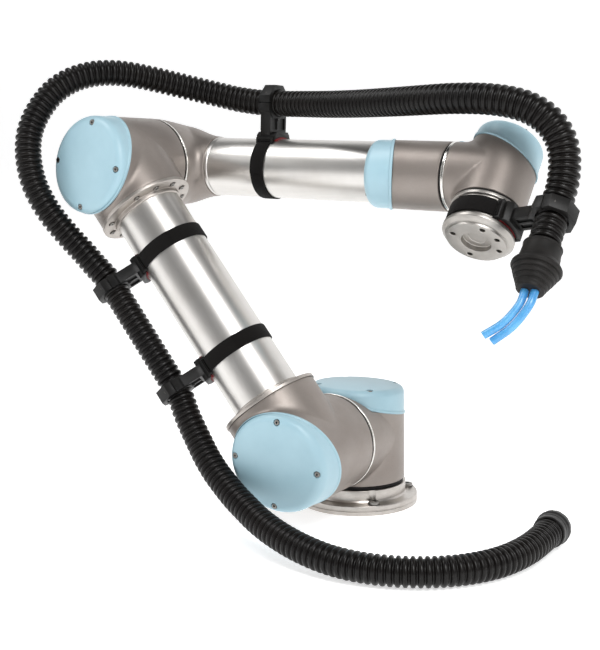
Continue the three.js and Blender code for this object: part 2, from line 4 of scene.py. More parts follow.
import bmesh
import bpy
import numpy as np
from mathutils import Matrix, Vector

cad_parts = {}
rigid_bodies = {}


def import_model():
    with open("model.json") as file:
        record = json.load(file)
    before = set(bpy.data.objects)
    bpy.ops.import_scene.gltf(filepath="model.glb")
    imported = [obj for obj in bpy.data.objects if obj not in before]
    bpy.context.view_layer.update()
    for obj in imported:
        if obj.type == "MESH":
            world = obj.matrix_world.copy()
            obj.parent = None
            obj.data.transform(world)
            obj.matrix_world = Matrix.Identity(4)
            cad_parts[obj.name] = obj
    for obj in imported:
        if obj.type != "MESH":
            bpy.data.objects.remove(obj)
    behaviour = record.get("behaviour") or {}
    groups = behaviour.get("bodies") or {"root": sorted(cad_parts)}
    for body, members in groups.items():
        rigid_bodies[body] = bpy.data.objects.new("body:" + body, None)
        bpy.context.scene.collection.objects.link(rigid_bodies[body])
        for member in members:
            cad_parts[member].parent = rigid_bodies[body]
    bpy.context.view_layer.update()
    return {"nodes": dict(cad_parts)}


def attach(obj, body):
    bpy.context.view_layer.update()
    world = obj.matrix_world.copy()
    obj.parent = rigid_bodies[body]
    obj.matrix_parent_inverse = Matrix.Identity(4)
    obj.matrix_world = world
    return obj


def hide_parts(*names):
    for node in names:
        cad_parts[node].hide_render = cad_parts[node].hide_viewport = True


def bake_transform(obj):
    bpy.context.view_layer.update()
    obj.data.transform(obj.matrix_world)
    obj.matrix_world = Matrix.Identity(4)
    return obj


for _o in list(bpy.data.objects):
    bpy.data.objects.remove(_o, do_unlink=True)
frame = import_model()

# ------------------------------------------------------------------ driving numbers, millimetres, as in the CAD
D1, A2, A3 = 89.159, 425.0, 392.25
Y_UPPER, Y_FORE, Y_WRIST = -135.85, -16.15, -109.15
D5, D6 = 94.65, 82.3
ANG_UPPER, ANG_FORE, ANG_WRIST, ANG_TOOL = 127.87, -2.5006, -2.7766, 50.535
GAP, SEAT = 0.3, 0.06
RL, RS = 58.4, 37.35
TUBE_U_R, TUBE_U_IN, FLANGE_R, FLANGE_T = 42.26, 38.5, 59.6, 4.5
TUBE_U_S0, TUBE_U_S1 = 68.9, A2 - 65.6
TUBE_F_R, TUBE_F_IN, TUBE_F_S0, TUBE_F_S1 = 36.6, 33.0, 60.0, 342.0
RING_T, SEAL_T = 3.2, 2.4
Y_RING_SHOULDER, Y_RING_ELBOW, Y_RING_W1 = -65.6, -69.4, -61.2
TOOL_R = 37.8
HOSE_R = 16.0
CLIP_OFF, CLIP_OFF_F, CLIP_OFF_T = 42.7, 44.0, 46.2
CLIP_U1, CLIP_U2, CLIP_F, CLIP_PSI, CLIP_T, CLIP_T_ANG = 145, 294, 150, 33, -16, 17
STRAP_W, STRAP_T = 18.0, 1.5


def vec(*a):
    return Vector(a)


def dir_xz(a):
    return Vector((math.cos(math.radians(a)), 0, math.sin(math.radians(a))))


u, fd, g = dir_xz(ANG_UPPER), dir_xz(ANG_FORE), dir_xz(ANG_WRIST)
capY = Vector((0, -1, 0))
YP = Vector((0, 1, 0))
XP = Vector((1, 0, 0))
ZP = Vector((0, 0, 1))
dn = Vector((g.z, 0, -g.x))
h = (capY * math.cos(math.radians(ANG_TOOL)) + dn * math.sin(math.radians(ANG_TOOL))).normalized()
S0 = Vector((0, 0, D1))
E0 = S0 + u * A2
W0 = E0 + fd * A3


def at(p, y):
    return Vector((p.x, y, p.z))


Su, Eu, Ef, J4f, J4w = at(S0, Y_UPPER), at(E0, Y_UPPER), at(E0, Y_FORE), at(W0, Y_FORE), at(W0, Y_WRIST)
J56 = J4w + g * D5
T0 = J56 + h * D6
nU, nF = Vector((-u.z, 0, u.x)), Vector((-fd.z, 0, fd.x))
if nU.x > 0:
    nU.negate()
cU = nU * math.cos(math.radians(CLIP_PSI)) + capY * math.sin(math.radians(CLIP_PSI))
w1v = (g - h * g.dot(h)).normalized()
w2v = h.cross(w1v)
cT = w1v * math.cos(math.radians(CLIP_T_ANG)) + w2v * math.sin(math.radians(CLIP_T_ANG))


def basis(o, z, x):
    z = z.normalized()
    x = (x - z * x.dot(z)).normalized()
    y = z.cross(x)
    m = Matrix(((x.x, y.x, z.x, o.x), (x.y, y.y, z.y, o.y), (x.z, y.z, z.z, o.z), (0, 0, 0, 1)))
    return m


IDENT = Matrix.Identity(4)

# ------------------------------------------------------------------ materials


def srgb(r, g_, b):
    return tuple((c / 12.92 if c <= 0.04045 else ((c + 0.055) / 1.055) ** 2.4) for c in (r / 255, g_ / 255, b / 255)) + (1.0,)


class Mat:
    """A node material on object coordinates in millimetres, turned into a piece's own frame where M is given."""

    def __init__(self, name, M=None):
        self.m = bpy.data.materials.new(name)
        self.m.use_nodes = True
        self.t = self.m.node_tree
        self.t.nodes.clear()
        self.out = self.t.nodes.new("ShaderNodeOutputMaterial")
        self.b = self.t.nodes.new("ShaderNodeBsdfPrincipled")
        self.t.links.new(self.b.outputs[0], self.out.inputs[0])
        tc = self.t.nodes.new("ShaderNodeTexCoord")
        mp = self.t.nodes.new("ShaderNodeMapping")
        mp.vector_type = "TEXTURE"
        if M is not None:
            mp.inputs["Location"].default_value = [c * 0.001 for c in M.translation]
            mp.inputs["Rotation"].default_value = M.to_euler("XYZ")
        self.t.links.new(tc.outputs["Object"], mp.inputs["Vector"])
        sc = self.t.nodes.new("ShaderNodeVectorMath")
        sc.operation = "SCALE"
        sc.inputs["Scale"].default_value = 1000.0
        self.t.links.new(mp.outputs[0], sc.inputs[0])
        self.p = sc.outputs[0]

    def set(self, **k):
        names = {"metal": "Metallic", "rough": "Roughness", "coat": "Coat Weight", "coat_rough": "Coat Roughness", "ior": "IOR", "spec": "Specular IOR Level", "sheen": "Sheen Weight", "sheen_rough": "Sheen Roughness", "sss": "Subsurface Weight", "aniso": "Anisotropic"}
        for a, v in k.items():
            self.b.inputs[names[a]].default_value = v
        return self

    def scaled(self, x, y, z):
        n = self.t.nodes.new("ShaderNodeVectorMath")
        n.operation = "MULTIPLY"
        n.inputs[1].default_value = (x, y, z)
        self.t.links.new(self.p, n.inputs[0])
        return n.outputs[0]

    def noise(self, scale, detail=2.0, rough=0.5, coords=None, distort=0.0):
        n = self.t.nodes.new("ShaderNodeTexNoise")
        n.inputs["Scale"].default_value = scale
        n.inputs["Detail"].default_value = detail
        n.inputs["Roughness"].default_value = rough
        n.inputs["Distortion"].default_value = distort
        self.t.links.new(coords or self.p, n.inputs["Vector"])
        return n.outputs[0]

    def ramp(self, fac, lo, hi, a, b):
        n = self.t.nodes.new("ShaderNodeMapRange")
        n.inputs["From Min"].default_value, n.inputs["From Max"].default_value = lo, hi
        n.inputs["To Min"].default_value, n.inputs["To Max"].default_value = a, b
        self.t.links.new(fac, n.inputs["Value"])
        return n.outputs[0]

    def math(self, op, a, b=None):
        n = self.t.nodes.new("ShaderNodeMath")
        n.operation = op
        for i, x in enumerate([a, b]):
            if x is None:
                continue
            if isinstance(x, (int, float)):
                n.inputs[i].default_value = x
            else:
                self.t.links.new(x, n.inputs[i])
        return n.outputs[0]

    def mix(self, fac, a, b):
        n = self.t.nodes.new("ShaderNodeMix")
        n.data_type = "RGBA"
        for s, x in (("Factor", fac), ("A", a), ("B", b)):
            i = [k for k in n.inputs if k.name == s and (k.type == "RGBA" if s != "Factor" else k.type == "VALUE")][0]
            if isinstance(x, (tuple, float, int)):
                i.default_value = x
            else:
                self.t.links.new(x, i)
        return [o for o in n.outputs if o.type == "RGBA"][0]

    def color(self, x):
        if isinstance(x, tuple):
            self.b.inputs["Base Color"].default_value = x
        else:
            self.t.links.new(x, self.b.inputs["Base Color"])
        return self

    def rough(self, x):
        self.t.links.new(x, self.b.inputs["Roughness"])
        return self

    def bump(self, height, strength, distance=0.001, normal=None):
        n = self.t.nodes.new("ShaderNodeBump")
        n.inputs["Strength"].default_value = strength
        n.inputs["Distance"].default_value = distance
        self.t.links.new(height, n.inputs["Height"])
        if normal is not None:
            self.t.links.new(normal, n.inputs["Normal"])
        self.t.links.new(n.outputs[0], self.b.inputs["Normal"])
        return n.outputs[0]


def cast_material(name, M=None, dark=1.0):
    """bead-blasted, hard-anodised aluminium casting: warm grey, very fine grain"""
    m = Mat(name, M).set(metal=0.62, spec=0.5)
    big = m.noise(0.018, 3.0, 0.55)
    mid = m.noise(0.12, 3.0, 0.6)
    fine = m.noise(2.4, 2.0, 0.6)
    a = m.mix(m.ramp(big, 0.3, 0.7, 0, 1), tuple(c * dark for c in srgb(143, 134, 128)[:3]) + (1,), tuple(c * dark for c in srgb(156, 148, 142)[:3]) + (1,))
    b = m.mix(m.ramp(fine, 0.35, 0.65, 0, 0.30), a, tuple(c * dark for c in srgb(116, 108, 102)[:3]) + (1,))
    m.color(b)
    m.rough(m.math("ADD", m.ramp(mid, 0.25, 0.75, 0.40, 0.47), m.ramp(fine, 0.3, 0.7, -0.03, 0.03)))
    m.bump(m.math("ADD", fine, m.math("MULTIPLY", mid, 0.4)), 0.10, 0.0006)
    return m.m


def tube_material(name, M, along=True):
    """clear-anodised extruded tube: fine lines along it, satin"""
    m = Mat(name, M).set(metal=1.0)
    lines = m.noise(1.0, 3.0, 0.65, m.scaled(2.2, 2.2, 0.0015) if along else m.scaled(0.02, 0.02, 3.5))
    cloud = m.noise(0.02, 3.0, 0.5)
    fine = m.noise(3.0, 2.0, 0.5)
    base = m.mix(m.ramp(cloud, 0.3, 0.7, 0, 1), srgb(214, 211, 207), srgb(228, 226, 223))
    m.color(m.mix(m.ramp(lines, 0.3, 0.7, 0, 0.35), base, srgb(196, 192, 187)))
    m.rough(m.math("ADD", m.ramp(lines, 0.25, 0.75, 0.31, 0.38), m.ramp(fine, 0.3, 0.7, -0.015, 0.02)))
    m.bump(m.math("ADD", m.math("MULTIPLY", lines, 0.5), m.math("MULTIPLY", fine, 0.3)), 0.025, 0.0004)
    return m.m


def turned_material(name, M, rough=0.28, c0=(206, 202, 197), c1=(224, 221, 217)):
    """machined aluminium with the concentric marks of the lathe"""
    m = Mat(name, M).set(metal=1.0)
    sep = m.t.nodes.new("ShaderNodeSeparateXYZ")
    m.t.links.new(m.p, sep.inputs[0])
    r = m.math("SQRT", m.math("ADD", m.math("MULTIPLY", sep.outputs[0], sep.outputs[0]), m.math("MULTIPLY", sep.outputs[1], sep.outputs[1])))
    comb = m.t.nodes.new("ShaderNodeCombineXYZ")
    m.t.links.new(m.math("MULTIPLY", r, 4.0), comb.inputs[0])
    m.t.links.new(m.math("MULTIPLY", sep.outputs[2], 4.0), comb.inputs[1])
    marks = m.noise(1.0, 2.0, 0.6, comb.outputs[0])
    cloud = m.noise(0.05, 3.0, 0.6)
    base = m.mix(m.ramp(cloud, 0.3, 0.7, 0, 1), srgb(*c0), srgb(*c1))
    m.color(m.mix(m.ramp(marks, 0.3, 0.7, 0, 0.3), base, tuple(0.75 * c for c in srgb(*c0)[:3]) + (1,)))
    m.rough(m.ramp(marks, 0.25, 0.75, rough - 0.05, rough + 0.06))
    m.bump(marks, 0.08, 0.0004)
    return m.m


def plastic_material(name, rgb, rgb2, rough=0.42, grain=1.6, bump=0.12, spec=0.5, coat=0.0):
    """moulded plastic or rubber with a spark-eroded texture"""
    m = Mat(name).set(metal=0.0, spec=spec)
    if coat:
        m.set(coat=coat, coat_rough=0.2)
    big, fine = m.noise(0.03, 3.0, 0.55), m.noise(grain, 3.0, 0.6)
    m.color(m.mix(m.ramp(big, 0.3, 0.7, 0, 1), srgb(*rgb), srgb(*rgb2)))
    m.rough(m.math("ADD", m.ramp(fine, 0.3, 0.7, rough - 0.04, rough + 0.05), m.ramp(big, 0.3, 0.7, -0.02, 0.02)))
    m.bump(fine, bump, 0.0004)
    return m.m


def webbing_material(name, M):
    """woven strap: ribs across it and warp lines along it, on the strap's own frame (Z across the strap)"""
    m = Mat(name, M).set(metal=0.0, spec=0.08, sheen=0.04, sheen_rough=0.5)
    sep = m.t.nodes.new("ShaderNodeSeparateXYZ")
    m.t.links.new(m.p, sep.inputs[0])
    ang = m.math("ARCTAN2", sep.outputs[1], sep.outputs[0])
    rib = m.math("SINE", m.math("MULTIPLY", ang, 150.0))
    warp = m.math("SINE", m.math("MULTIPLY", sep.outputs[2], 4.2))
    weave = m.math("MULTIPLY", rib, warp)
    fine = m.noise(1.2, 3.0, 0.6)
    m.color(m.mix(m.math("ADD", m.ramp(weave, -1, 1, 0, 0.6), m.ramp(fine, 0.3, 0.7, 0, 0.4)), srgb(10, 9, 9), srgb(27, 25, 24)))
    m.rough(m.ramp(fine, 0.3, 0.7, 0.72, 0.88))
    m.bump(m.math("ADD", weave, fine), 0.35, 0.0005)
    return m.m


def hose_material(name):
    m = Mat(name).set(metal=0.0, spec=0.22)
    big, fine = m.noise(0.012, 2.0, 0.5), m.noise(0.9, 4.0, 0.65)
    m.color(m.mix(m.math("ADD", m.ramp(big, 0.3, 0.7, 0, 0.6), m.ramp(fine, 0.35, 0.7, 0, 0.4)), srgb(9, 8, 8), srgb(23, 20, 18)))
    m.rough(m.ramp(fine, 0.25, 0.75, 0.24, 0.34))
    m.bump(fine, 0.08, 0.0005)
    return m.m


def air_line_material(name):
    m = Mat(name).set(metal=0.0, spec=0.5, coat=0.3, coat_rough=0.12, sss=0.12)
    m.b.inputs["Subsurface Radius"].default_value = (0.2, 0.6, 1.0)
    m.b.inputs["Subsurface Scale"].default_value = 0.002
    big, fine = m.noise(0.05, 2.0, 0.5), m.noise(0.8, 3.0, 0.6)
    m.color(m.mix(m.ramp(big, 0.3, 0.7, 0, 1), srgb(66, 142, 200), srgb(96, 170, 220)))
    m.rough(m.ramp(fine, 0.3, 0.7, 0.24, 0.34))
    m.bump(fine, 0.04, 0.0004)
    return m.m


def steel_material(name, rgb=(150, 147, 143), rough=0.3):
    m = Mat(name).set(metal=1.0)
    fine, spots = m.noise(3.0, 3.0, 0.6), m.noise(0.6, 3.0, 0.6)
    m.color(m.mix(m.ramp(spots, 0.3, 0.7, 0, 1), srgb(*rgb), tuple(0.7 * c for c in srgb(*rgb)[:3]) + (1,)))
    m.rough(m.ramp(fine, 0.3, 0.7, rough - 0.05, rough + 0.08))
    m.bump(fine, 0.06, 0.0003)
    return m.m


CAP = plastic_material("cover_plastic", (157, 191, 204), (165, 198, 210), rough=0.40, grain=2.2, bump=0.05, spec=0.5, coat=0.12)
BLACK = plastic_material("clip_nylon", (14, 14, 14), (26, 25, 24), rough=0.40, grain=1.8, bump=0.18, spec=0.25)
RUBBER = plastic_material("seal_elastomer", (14, 14, 14), (24, 23, 23), rough=0.62, grain=2.0, bump=0.15, spec=0.2)
BOOT = plastic_material("boot_elastomer", (22, 21, 20), (38, 35, 33), rough=0.52, grain=1.4, bump=0.22, spec=0.22)
PAD = plastic_material("pad_elastomer", (104, 22, 27), (128, 33, 36), rough=0.58, grain=1.2, bump=0.25, spec=0.4)
HOSE = hose_material("hose_polyamide")
AIR = air_line_material("air_line_polyurethane")
STEEL = steel_material("screw_steel")
STEEL_DARK = steel_material("screw_steel_dark", (96, 93, 90), 0.36)
DRIVE = steel_material("drive_steel", (104, 106, 109), 0.4)
HOLE = plastic_material("hole_dark", (10, 10, 10), (18, 17, 17), rough=0.7, grain=1.5, bump=0.1, spec=0.3)

# ------------------------------------------------------------------ mesh helpers (millimetres until the end)


def arc_profile(pts):
    """[(r, z) or (r, z, radius)] closed outline with those corners rounded"""
    out = []
    n = len(pts)
    for i, p in enumerate(pts):
        if len(p) < 3 or p[2] <= 0:
            out.append((p[0], p[1]))
            continue
        a, b, c = np.array(pts[i - 1][:2], float), np.array(p[:2], float), np.array(pts[(i + 1) % n][:2], float)
        d1, d2 = a - b, c - b
        l1, l2 = np.linalg.norm(d1), np.linalg.norm(d2)
        d1, d2 = d1 / l1, d2 / l2
        ang = math.acos(max(-1, min(1, float(d1 @ d2))))
        if ang > math.pi - 0.05:
            out.append((p[0], p[1]))
            continue
        t = min(p[2] / math.tan(ang / 2), 0.48 * l1, 0.48 * l2)
        r = t * math.tan(ang / 2)
        cen = b + (d1 + d2) / np.linalg.norm(d1 + d2) * (r / math.sin(ang / 2))
        s, e = b + d1 * t - cen, b + d2 * t - cen
        a0, a1 = math.atan2(s[1], s[0]), math.atan2(e[1], e[0])
        da = (a1 - a0 + math.pi) % (2 * math.pi) - math.pi
        k = max(2, int(math.ceil(abs(da) / math.radians(22))))
        for j in range(k + 1):
            w = a0 + da * j / k
            out.append((cen[0] + r * math.cos(w), cen[1] + r * math.sin(w)))
    return out


def dense(profile, step):
    out = []
    n = len(profile)
    for i in range(n):
        a, b = profile[i], profile[(i + 1) % n]
        out.append(a)
        if a[0] < 1e-6 and b[0] < 1e-6:
            continue
        l = math.hypot(b[0] - a[0], b[1] - a[1])
        k = int(l // step)
        for j in range(1, k + 1):
            t = j / (k + 1)
            out.append((a[0] + (b[0] - a[0]) * t, a[1] + (b[1] - a[1]) * t))
    return out


def rev(profile, seg=96, warp=None):
    """closed solid of revolution about local Z from a closed outline; points with r 0 become poles"""
    bm = bmesh.new()
    rings = []
    for r, z in profile:
        if r < 1e-6:
            x = Vector((0, 0, z))
            rings.append([bm.verts.new(warp(x) if warp else x)])
        else:
            row = []
            for i in range(seg):
                a = 2 * math.pi * i / seg
                x = Vector((r * math.cos(a), r * math.sin(a), z))
                row.append(bm.verts.new(warp(x) if warp else x))
            rings.append(row)
    n = len(rings)
    for i in range(n):
        a, b = rings[i], rings[(i + 1) % n]
        if len(a) == 1 and len(b) == 1:
            continue
        for j in range(seg):
            k = (j + 1) % seg
            if len(a) == 1:
                bm.faces.new((a[0], b[j], b[k]))
            elif len(b) == 1:
                bm.faces.new((a[j], b[0], a[k]))
            else:
                bm.faces.new((a[j], b[j], b[k], a[k]))
    bmesh.ops.recalc_face_normals(bm, faces=bm.faces)
    return bm


def prism(outline, z0, z1):
    bm = bmesh.new()
    lo = [bm.verts.new((x, y, z0)) for x, y in outline]
    hi = [bm.verts.new((x, y, z1)) for x, y in outline]
    n = len(outline)
    for i in range(n):
        k = (i + 1) % n
        bm.faces.new((lo[i], lo[k], hi[k], hi[i]))
    bm.faces.new(lo)
    bm.faces.new(hi)
    bmesh.ops.recalc_face_normals(bm, faces=bm.faces)
    return bm


def block(x0, x1, y0, y1, z0, z1):
    return prism([(x0, y0), (x1, y0), (x1, y1), (x0, y1)], z0, z1)


def move(bm, M):
    bmesh.ops.transform(bm, matrix=M, verts=bm.verts)
    return bm


def join(*bms):
    out = bmesh.new()
    for b in bms:
        m = bpy.data.meshes.new("t")
        b.to_mesh(m)
        b.free()
        out.from_mesh(m)
        bpy.data.meshes.remove(m)
    return out


def boolean(a, b, op="DIFFERENCE", solver="EXACT"):
    """a op b, both bmeshes, with Blender's boolean; b may hold several closed shells"""
    objs = []
    for x in (a, b):
        m = bpy.data.meshes.new("t")
        x.to_mesh(m)
        x.free()
        o = bpy.data.objects.new("t", m)
        bpy.context.scene.collection.objects.link(o)
        objs.append(o)
    mod = objs[0].modifiers.new("b", "BOOLEAN")
    mod.operation, mod.object, mod.solver = op, objs[1], solver
    if solver == "EXACT":
        mod.use_self = True if op == "UNION" else False
    dg = bpy.context.evaluated_depsgraph_get()
    dg.update()
    e = objs[0].evaluated_get(dg)
    out = bmesh.new()
    out.from_mesh(e.to_mesh())
    e.to_mesh_clear()
    for o in objs:
        m = o.data
        bpy.data.objects.remove(o)
        bpy.data.meshes.remove(m)
    return out


def cut(a, b):
    """boolean() for a bore, kept only where the result is smaller than what was cut"""
    lo = [min(v.co[i] for v in a.verts) for i in range(3)]
    hi = [max(v.co[i] for v in a.verts) for i in range(3)]
    vol = abs(a.calc_volume())
    for turn in (0.0, 0.011, 0.023):
        x, y = a.copy(), b.copy()
        if turn:
            bmesh.ops.transform(y, matrix=Matrix.Rotation(turn, 4, "Z") @ Matrix.Scale(1 + turn * 0.02, 4), verts=y.verts)
        bmesh.ops.recalc_face_normals(x, faces=x.faces)
        r = boolean(x, y)
        if len(r.verts) > 8 and 0.15 * vol < abs(r.calc_volume()) <= vol * 1.0001:
            if all(min(v.co[i] for v in r.verts) > lo[i] - 0.5 and max(v.co[i] for v in r.verts) < hi[i] + 0.5 for i in range(3)):
                a.free()
                b.free()
                return r
        r.free()
    print("a bore was left out")
    b.free()
    return a


PIECES = {}


def piece(name, bm, body, mat, M=None, nodes=(), angle=32, bevel=0.0, segs=2, weld=0.0, ride=True):
    """bmesh in millimetres -> object in metres that rides on a body"""
    if M is not None:
        move(bm, M)
    if weld:
        bmesh.ops.remove_doubles(bm, verts=bm.verts, dist=weld)
        bmesh.ops.dissolve_degenerate(bm, edges=bm.edges, dist=weld * 0.5)
    bmesh.ops.scale(bm, vec=(0.001,) * 3, verts=bm.verts)
    me = bpy.data.meshes.new(name)
    bm.to_mesh(me)
    bm.free()
    o = bpy.data.objects.new(name, me)
    bpy.context.scene.collection.objects.link(o)
    me.materials.append(mat)
    if bevel:
        md = o.modifiers.new("edge", "BEVEL")
        md.width, md.segments, md.limit_method, md.angle_limit = bevel * 0.001, segs, "ANGLE", math.radians(38)
        md.harden_normals = False
        dg = bpy.context.evaluated_depsgraph_get()
        dg.update()
        new = bpy.data.meshes.new_from_object(o.evaluated_get(dg))
        o.modifiers.clear()
        o.data = new
        bpy.data.meshes.remove(me)
        me = new
        me.name = name
    me.shade_smooth()
    me.set_sharp_from_angle(angle=math.radians(angle))
    if ride:
        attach(o, body)
    if nodes:
        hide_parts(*nodes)
    PIECES[name] = o
    return o


def screw_head(r, hh, hexr, seg=28):
    """cap screw head with a hexagon socket, top at z=0, going down"""
    b = rev(dense(arc_profile([(0, 0), (r, 0, 0.18 * r), (r, -hh), (0, -hh)]), 50), seg)
    s = prism([(hexr * math.cos(math.pi / 3 * i), hexr * math.sin(math.pi / 3 * i)) for i in range(6)], -0.62 * hh, 3)
    return boolean(b, s)


def copies(make, mats):
    out = []
    for m in mats:
        out.append(move(make.copy(), m))
    make.free()
    return join(*out)


# ------------------------------------------------------------------ castings
def smooth_union(bm, d1, d2, k, keep=None):
    """moves the skin of two joined solids out to the surface of their rounded union (a cast fillet)"""
    for _ in range(4):
        for v in bm.verts:
            p = v.co
            a, ga = d1(p)
            b, gb = d2(p)
            if abs(a - b) >= k or max(a, b) > k:
                continue
            kk = k * sstep(1 - ga.dot(gb), 0.02, 0.75)
            if kk < 0.05 or abs(a - b) >= kk:
                continue
            w = 0.5 + 0.5 * (b - a) / kk
            f = b + (a - b) * w - kk * w * (1 - w)
            gr = gb + (ga - gb) * w
            l2 = gr.length_squared
            if l2 < 0.05:
                continue
            s = 1.0 if keep is None else keep(p)
            v.co = p - gr * (f / l2) * s


def d_cyl(axis, R):
    def f(p):
        q = Vector((0, p.y, p.z)) if axis == 0 else (Vector((p.x, 0, p.z)) if axis == 1 else Vector((p.x, p.y, 0)))
        l = q.length
        return l - R, (q / l if l > 1e-6 else Vector((0, 0, 0)))

    return f


def sstep(x, a, b):
    t = max(0.0, min(1.0, (x - a) / (b - a)))
    return t * t * (3 - 2 * t)


def z_plane(R_, z0, sx, sy):
    return lambda p: Vector((p.x, p.y, p.z + z0 + sx * p.x + sy * p.y))


def housing(o, seg=112, step=3.2, k=8.0):
    top = o["rim"] + math.hypot(o["sx"], o["sy"]) * o["R"] + 2
    R, rg = o["R"], o["ring"]
    outer = dense(arc_profile([(0, -rg), (R, -rg, 0.8), (R, top), (0, top)]), step)
    s = rev(outer, seg)
    nr = o["neckR"]
    n = rev(dense(arc_profile([(0, 0), (nr, 0), (nr, o["neck"], 0.5), (0, o["neck"])]), step), seg)
    move(n, Matrix.Rotation(math.pi / 2, 4, "Y"))
    s = boolean(s, n, "UNION")
    bmesh.ops.remove_doubles(s, verts=s.verts, dist=0.3)
    kk = min(k, o["neck"] - R - 0.5)
    smooth_union(s, d_cyl(2, R), d_cyl(0, nr), kk, lambda p: sstep(p.z, -rg, -rg + 6) * (1 - sstep(p.x, o["neck"] - 3, o["neck"] - 0.5)) * sstep(p.x, 4, 20))
    top_cut = rev([(0, 0), (R + 6, 0), (R + 6, 160), (0, 160)], 64, z_plane(0, o["rim"], o["sx"], o["sy"]))
    s = cut(s, top_cut)
    bore = rev([(0, -rg + o["floor"]), (o["bore"], -rg + o["floor"]), (o["bore"], 170), (0, 170)], 48)
    s = cut(s, bore)
    nb = rev([(0, 0), (o["neckBore"], 0), (o["neckBore"], o["neck"] + 5), (0, o["neck"] + 5)], 40)
    move(nb, Matrix.Rotation(math.pi / 2, 4, "Y"))
    s = cut(s, nb)
    ps = rev([(0, -rg - 5), (o["pass"], -rg - 5), (o["pass"], 0), (0, 0)], 32)
    return cut(s, ps)


def cover(o, seg=112, lip=0.9, lip_h=4.2):
    """moulded cap: skirt from the sloping rim plane, big fillet, shallow dome; four screw pockets"""
    R, f, t, dome = o["R"], o["fillet"], o["wall"], o["dome"]
    fx, fy, sx, sy = o["fx"], o["fy"], o["sx"], o["sy"]
    face0 = o["face"] - dome
    pts = []  # (r, z offset, 0 rim .. 1 face)
    lz = GAP
    pts += [(R + lip - 0.5, lz, 0), (R + lip, lz + 0.5, 0), (R + lip, lz + lip_h - 0.7, 0), (R + lip - 0.35, lz + lip_h - 0.1, 0), (R + 0.02, lz + lip_h + 0.35, 0)]
    pts += [(R, lz + lip_h + 1.2, 0)]
    for i in range(0, 11):
        a = i / 10 * math.pi / 2
        # superelliptic shoulder, softer towards the face
        rr = R - f + f * math.cos(a) ** 0.92
        zz = -f + f * math.sin(a) ** 0.92
        pts.append((rr, zz, 1))
    rin = R - f
    for i in range(1, 9):
        q = i / 8
        r_ = rin * (1 - q)
        pts.append((r_, dome * (1 - (1 - q) ** 2.2), 1))
    # underside
    for i in range(0, 6):
        q = 1 - i / 5
        r_ = (R - f) * (1 - q)
        pts.append((r_, dome * (1 - (1 - q) ** 2.2) - t, 1))
    for i in range(1, 7):
        a = math.pi / 2 * (1 - i / 6)
        pts.append((R - f + (f - t) * math.cos(a), -f + (f - t) * math.sin(a), 1))
    pts.append((R - t, lz, 0))

    bm = bmesh.new()
    rings = []
    for r, z, w in pts:
        if r < 1e-6:
            rings.append([bm.verts.new((0, 0, face0 + z))])
            continue
        row = []
        for i in range(seg):
            a = 2 * math.pi * i / seg
            x, y = r * math.cos(a), r * math.sin(a)
            zz = (face0 + fx * x + fy * y + z) if w else (o["rim"] + sx * x + sy * y + z)
            row.append(bm.verts.new((x, y, zz)))
        rings.append(row)
    n = len(rings)
    for i in range(n):
        a, b = rings[i], rings[(i + 1) % n]
        if len(a) == 1 and len(b) == 1:
            continue
        for j in range(seg):
            k = (j + 1) % seg
            if len(a) == 1:
                bm.faces.new((a[0], b[j], b[k]))
            elif len(b) == 1:
                bm.faces.new((a[j], b[0], a[k]))
            else:
                bm.faces.new((a[j], b[j], b[k], a[k]))
    bmesh.ops.recalc_face_normals(bm, faces=bm.faces)
    pockets, heads = [], []
    hr = o["screwHole"]
    for a in o["screws"]:
        c = Vector((o["screwR"] * math.cos(a), o["screwR"] * math.sin(a), 0))
        z = face0 + fx * c.x + fy * c.y
        pockets.append(move(rev(arc_profile([(0, 0), (hr * 1.12, 0, 0.5), (hr * 1.2, 25), (0, 25)]), 28), Matrix.Translation((c.x, c.y, z - o["pocket"]))))
        heads.append(Matrix.Translation((c.x, c.y, z - o["pocket"] + 0.62 * hr)))
    bm = boolean(bm, join(*pockets))
    return bm, copies(screw_head(hr * 0.86, hr * 1.0, hr * 0.42), heads)


QUARTERS = [math.pi / 4 + i * math.pi / 2 for i in range(4)]
LARGE = dict(R=RL, bore=48, floor=9, rim=32.3, sx=0.46, sy=0, neckR=58.2, neckBore=37, face=63, fx=0.17, fy=0, fillet=11, dome=2.5, wall=3, screws=QUARTERS, screwR=50.4, screwHole=3.6, pocket=2.9)
LARGE["pass"] = 20
SMALL = dict(R=RS, bore=29.5, floor=7, rim=25.4, sx=0.41, sy=0, neckR=RS - 0.15, neckBore=27, face=54, fx=0.14, fy=0, fillet=10, dome=2, wall=2.5, screws=QUARTERS, screwR=31.2, screwHole=2.3, pocket=2.2)
SMALL["pass"] = 12


def module(node_h, node_c, body, o, M, seg=112, k=8.0, lip=0.9, lip_h=4.2):
    piece(node_h + "_cast", housing(o, seg, k=k), body, cast_material(node_h + "_finish", M), M, (node_h,), angle=30, weld=0.25)
    c, s = cover(o, seg, lip, lip_h)
    piece(node_c + "_moulded", c, body, CAP, M, (node_c,), angle=34)
    piece(node_c + "_screws", s, body, STEEL, M.copy(), angle=30)


def ring_band(name, node, body, mat, M, r0, r1, z0, z1, rnd=0.5, seg=112):
    return piece(name, rev(arc_profile([(r0, z0), (r1, z0, rnd), (r1, z1, rnd), (r0, z1)]), seg), body, mat, M, (node,) if node else (), angle=30)


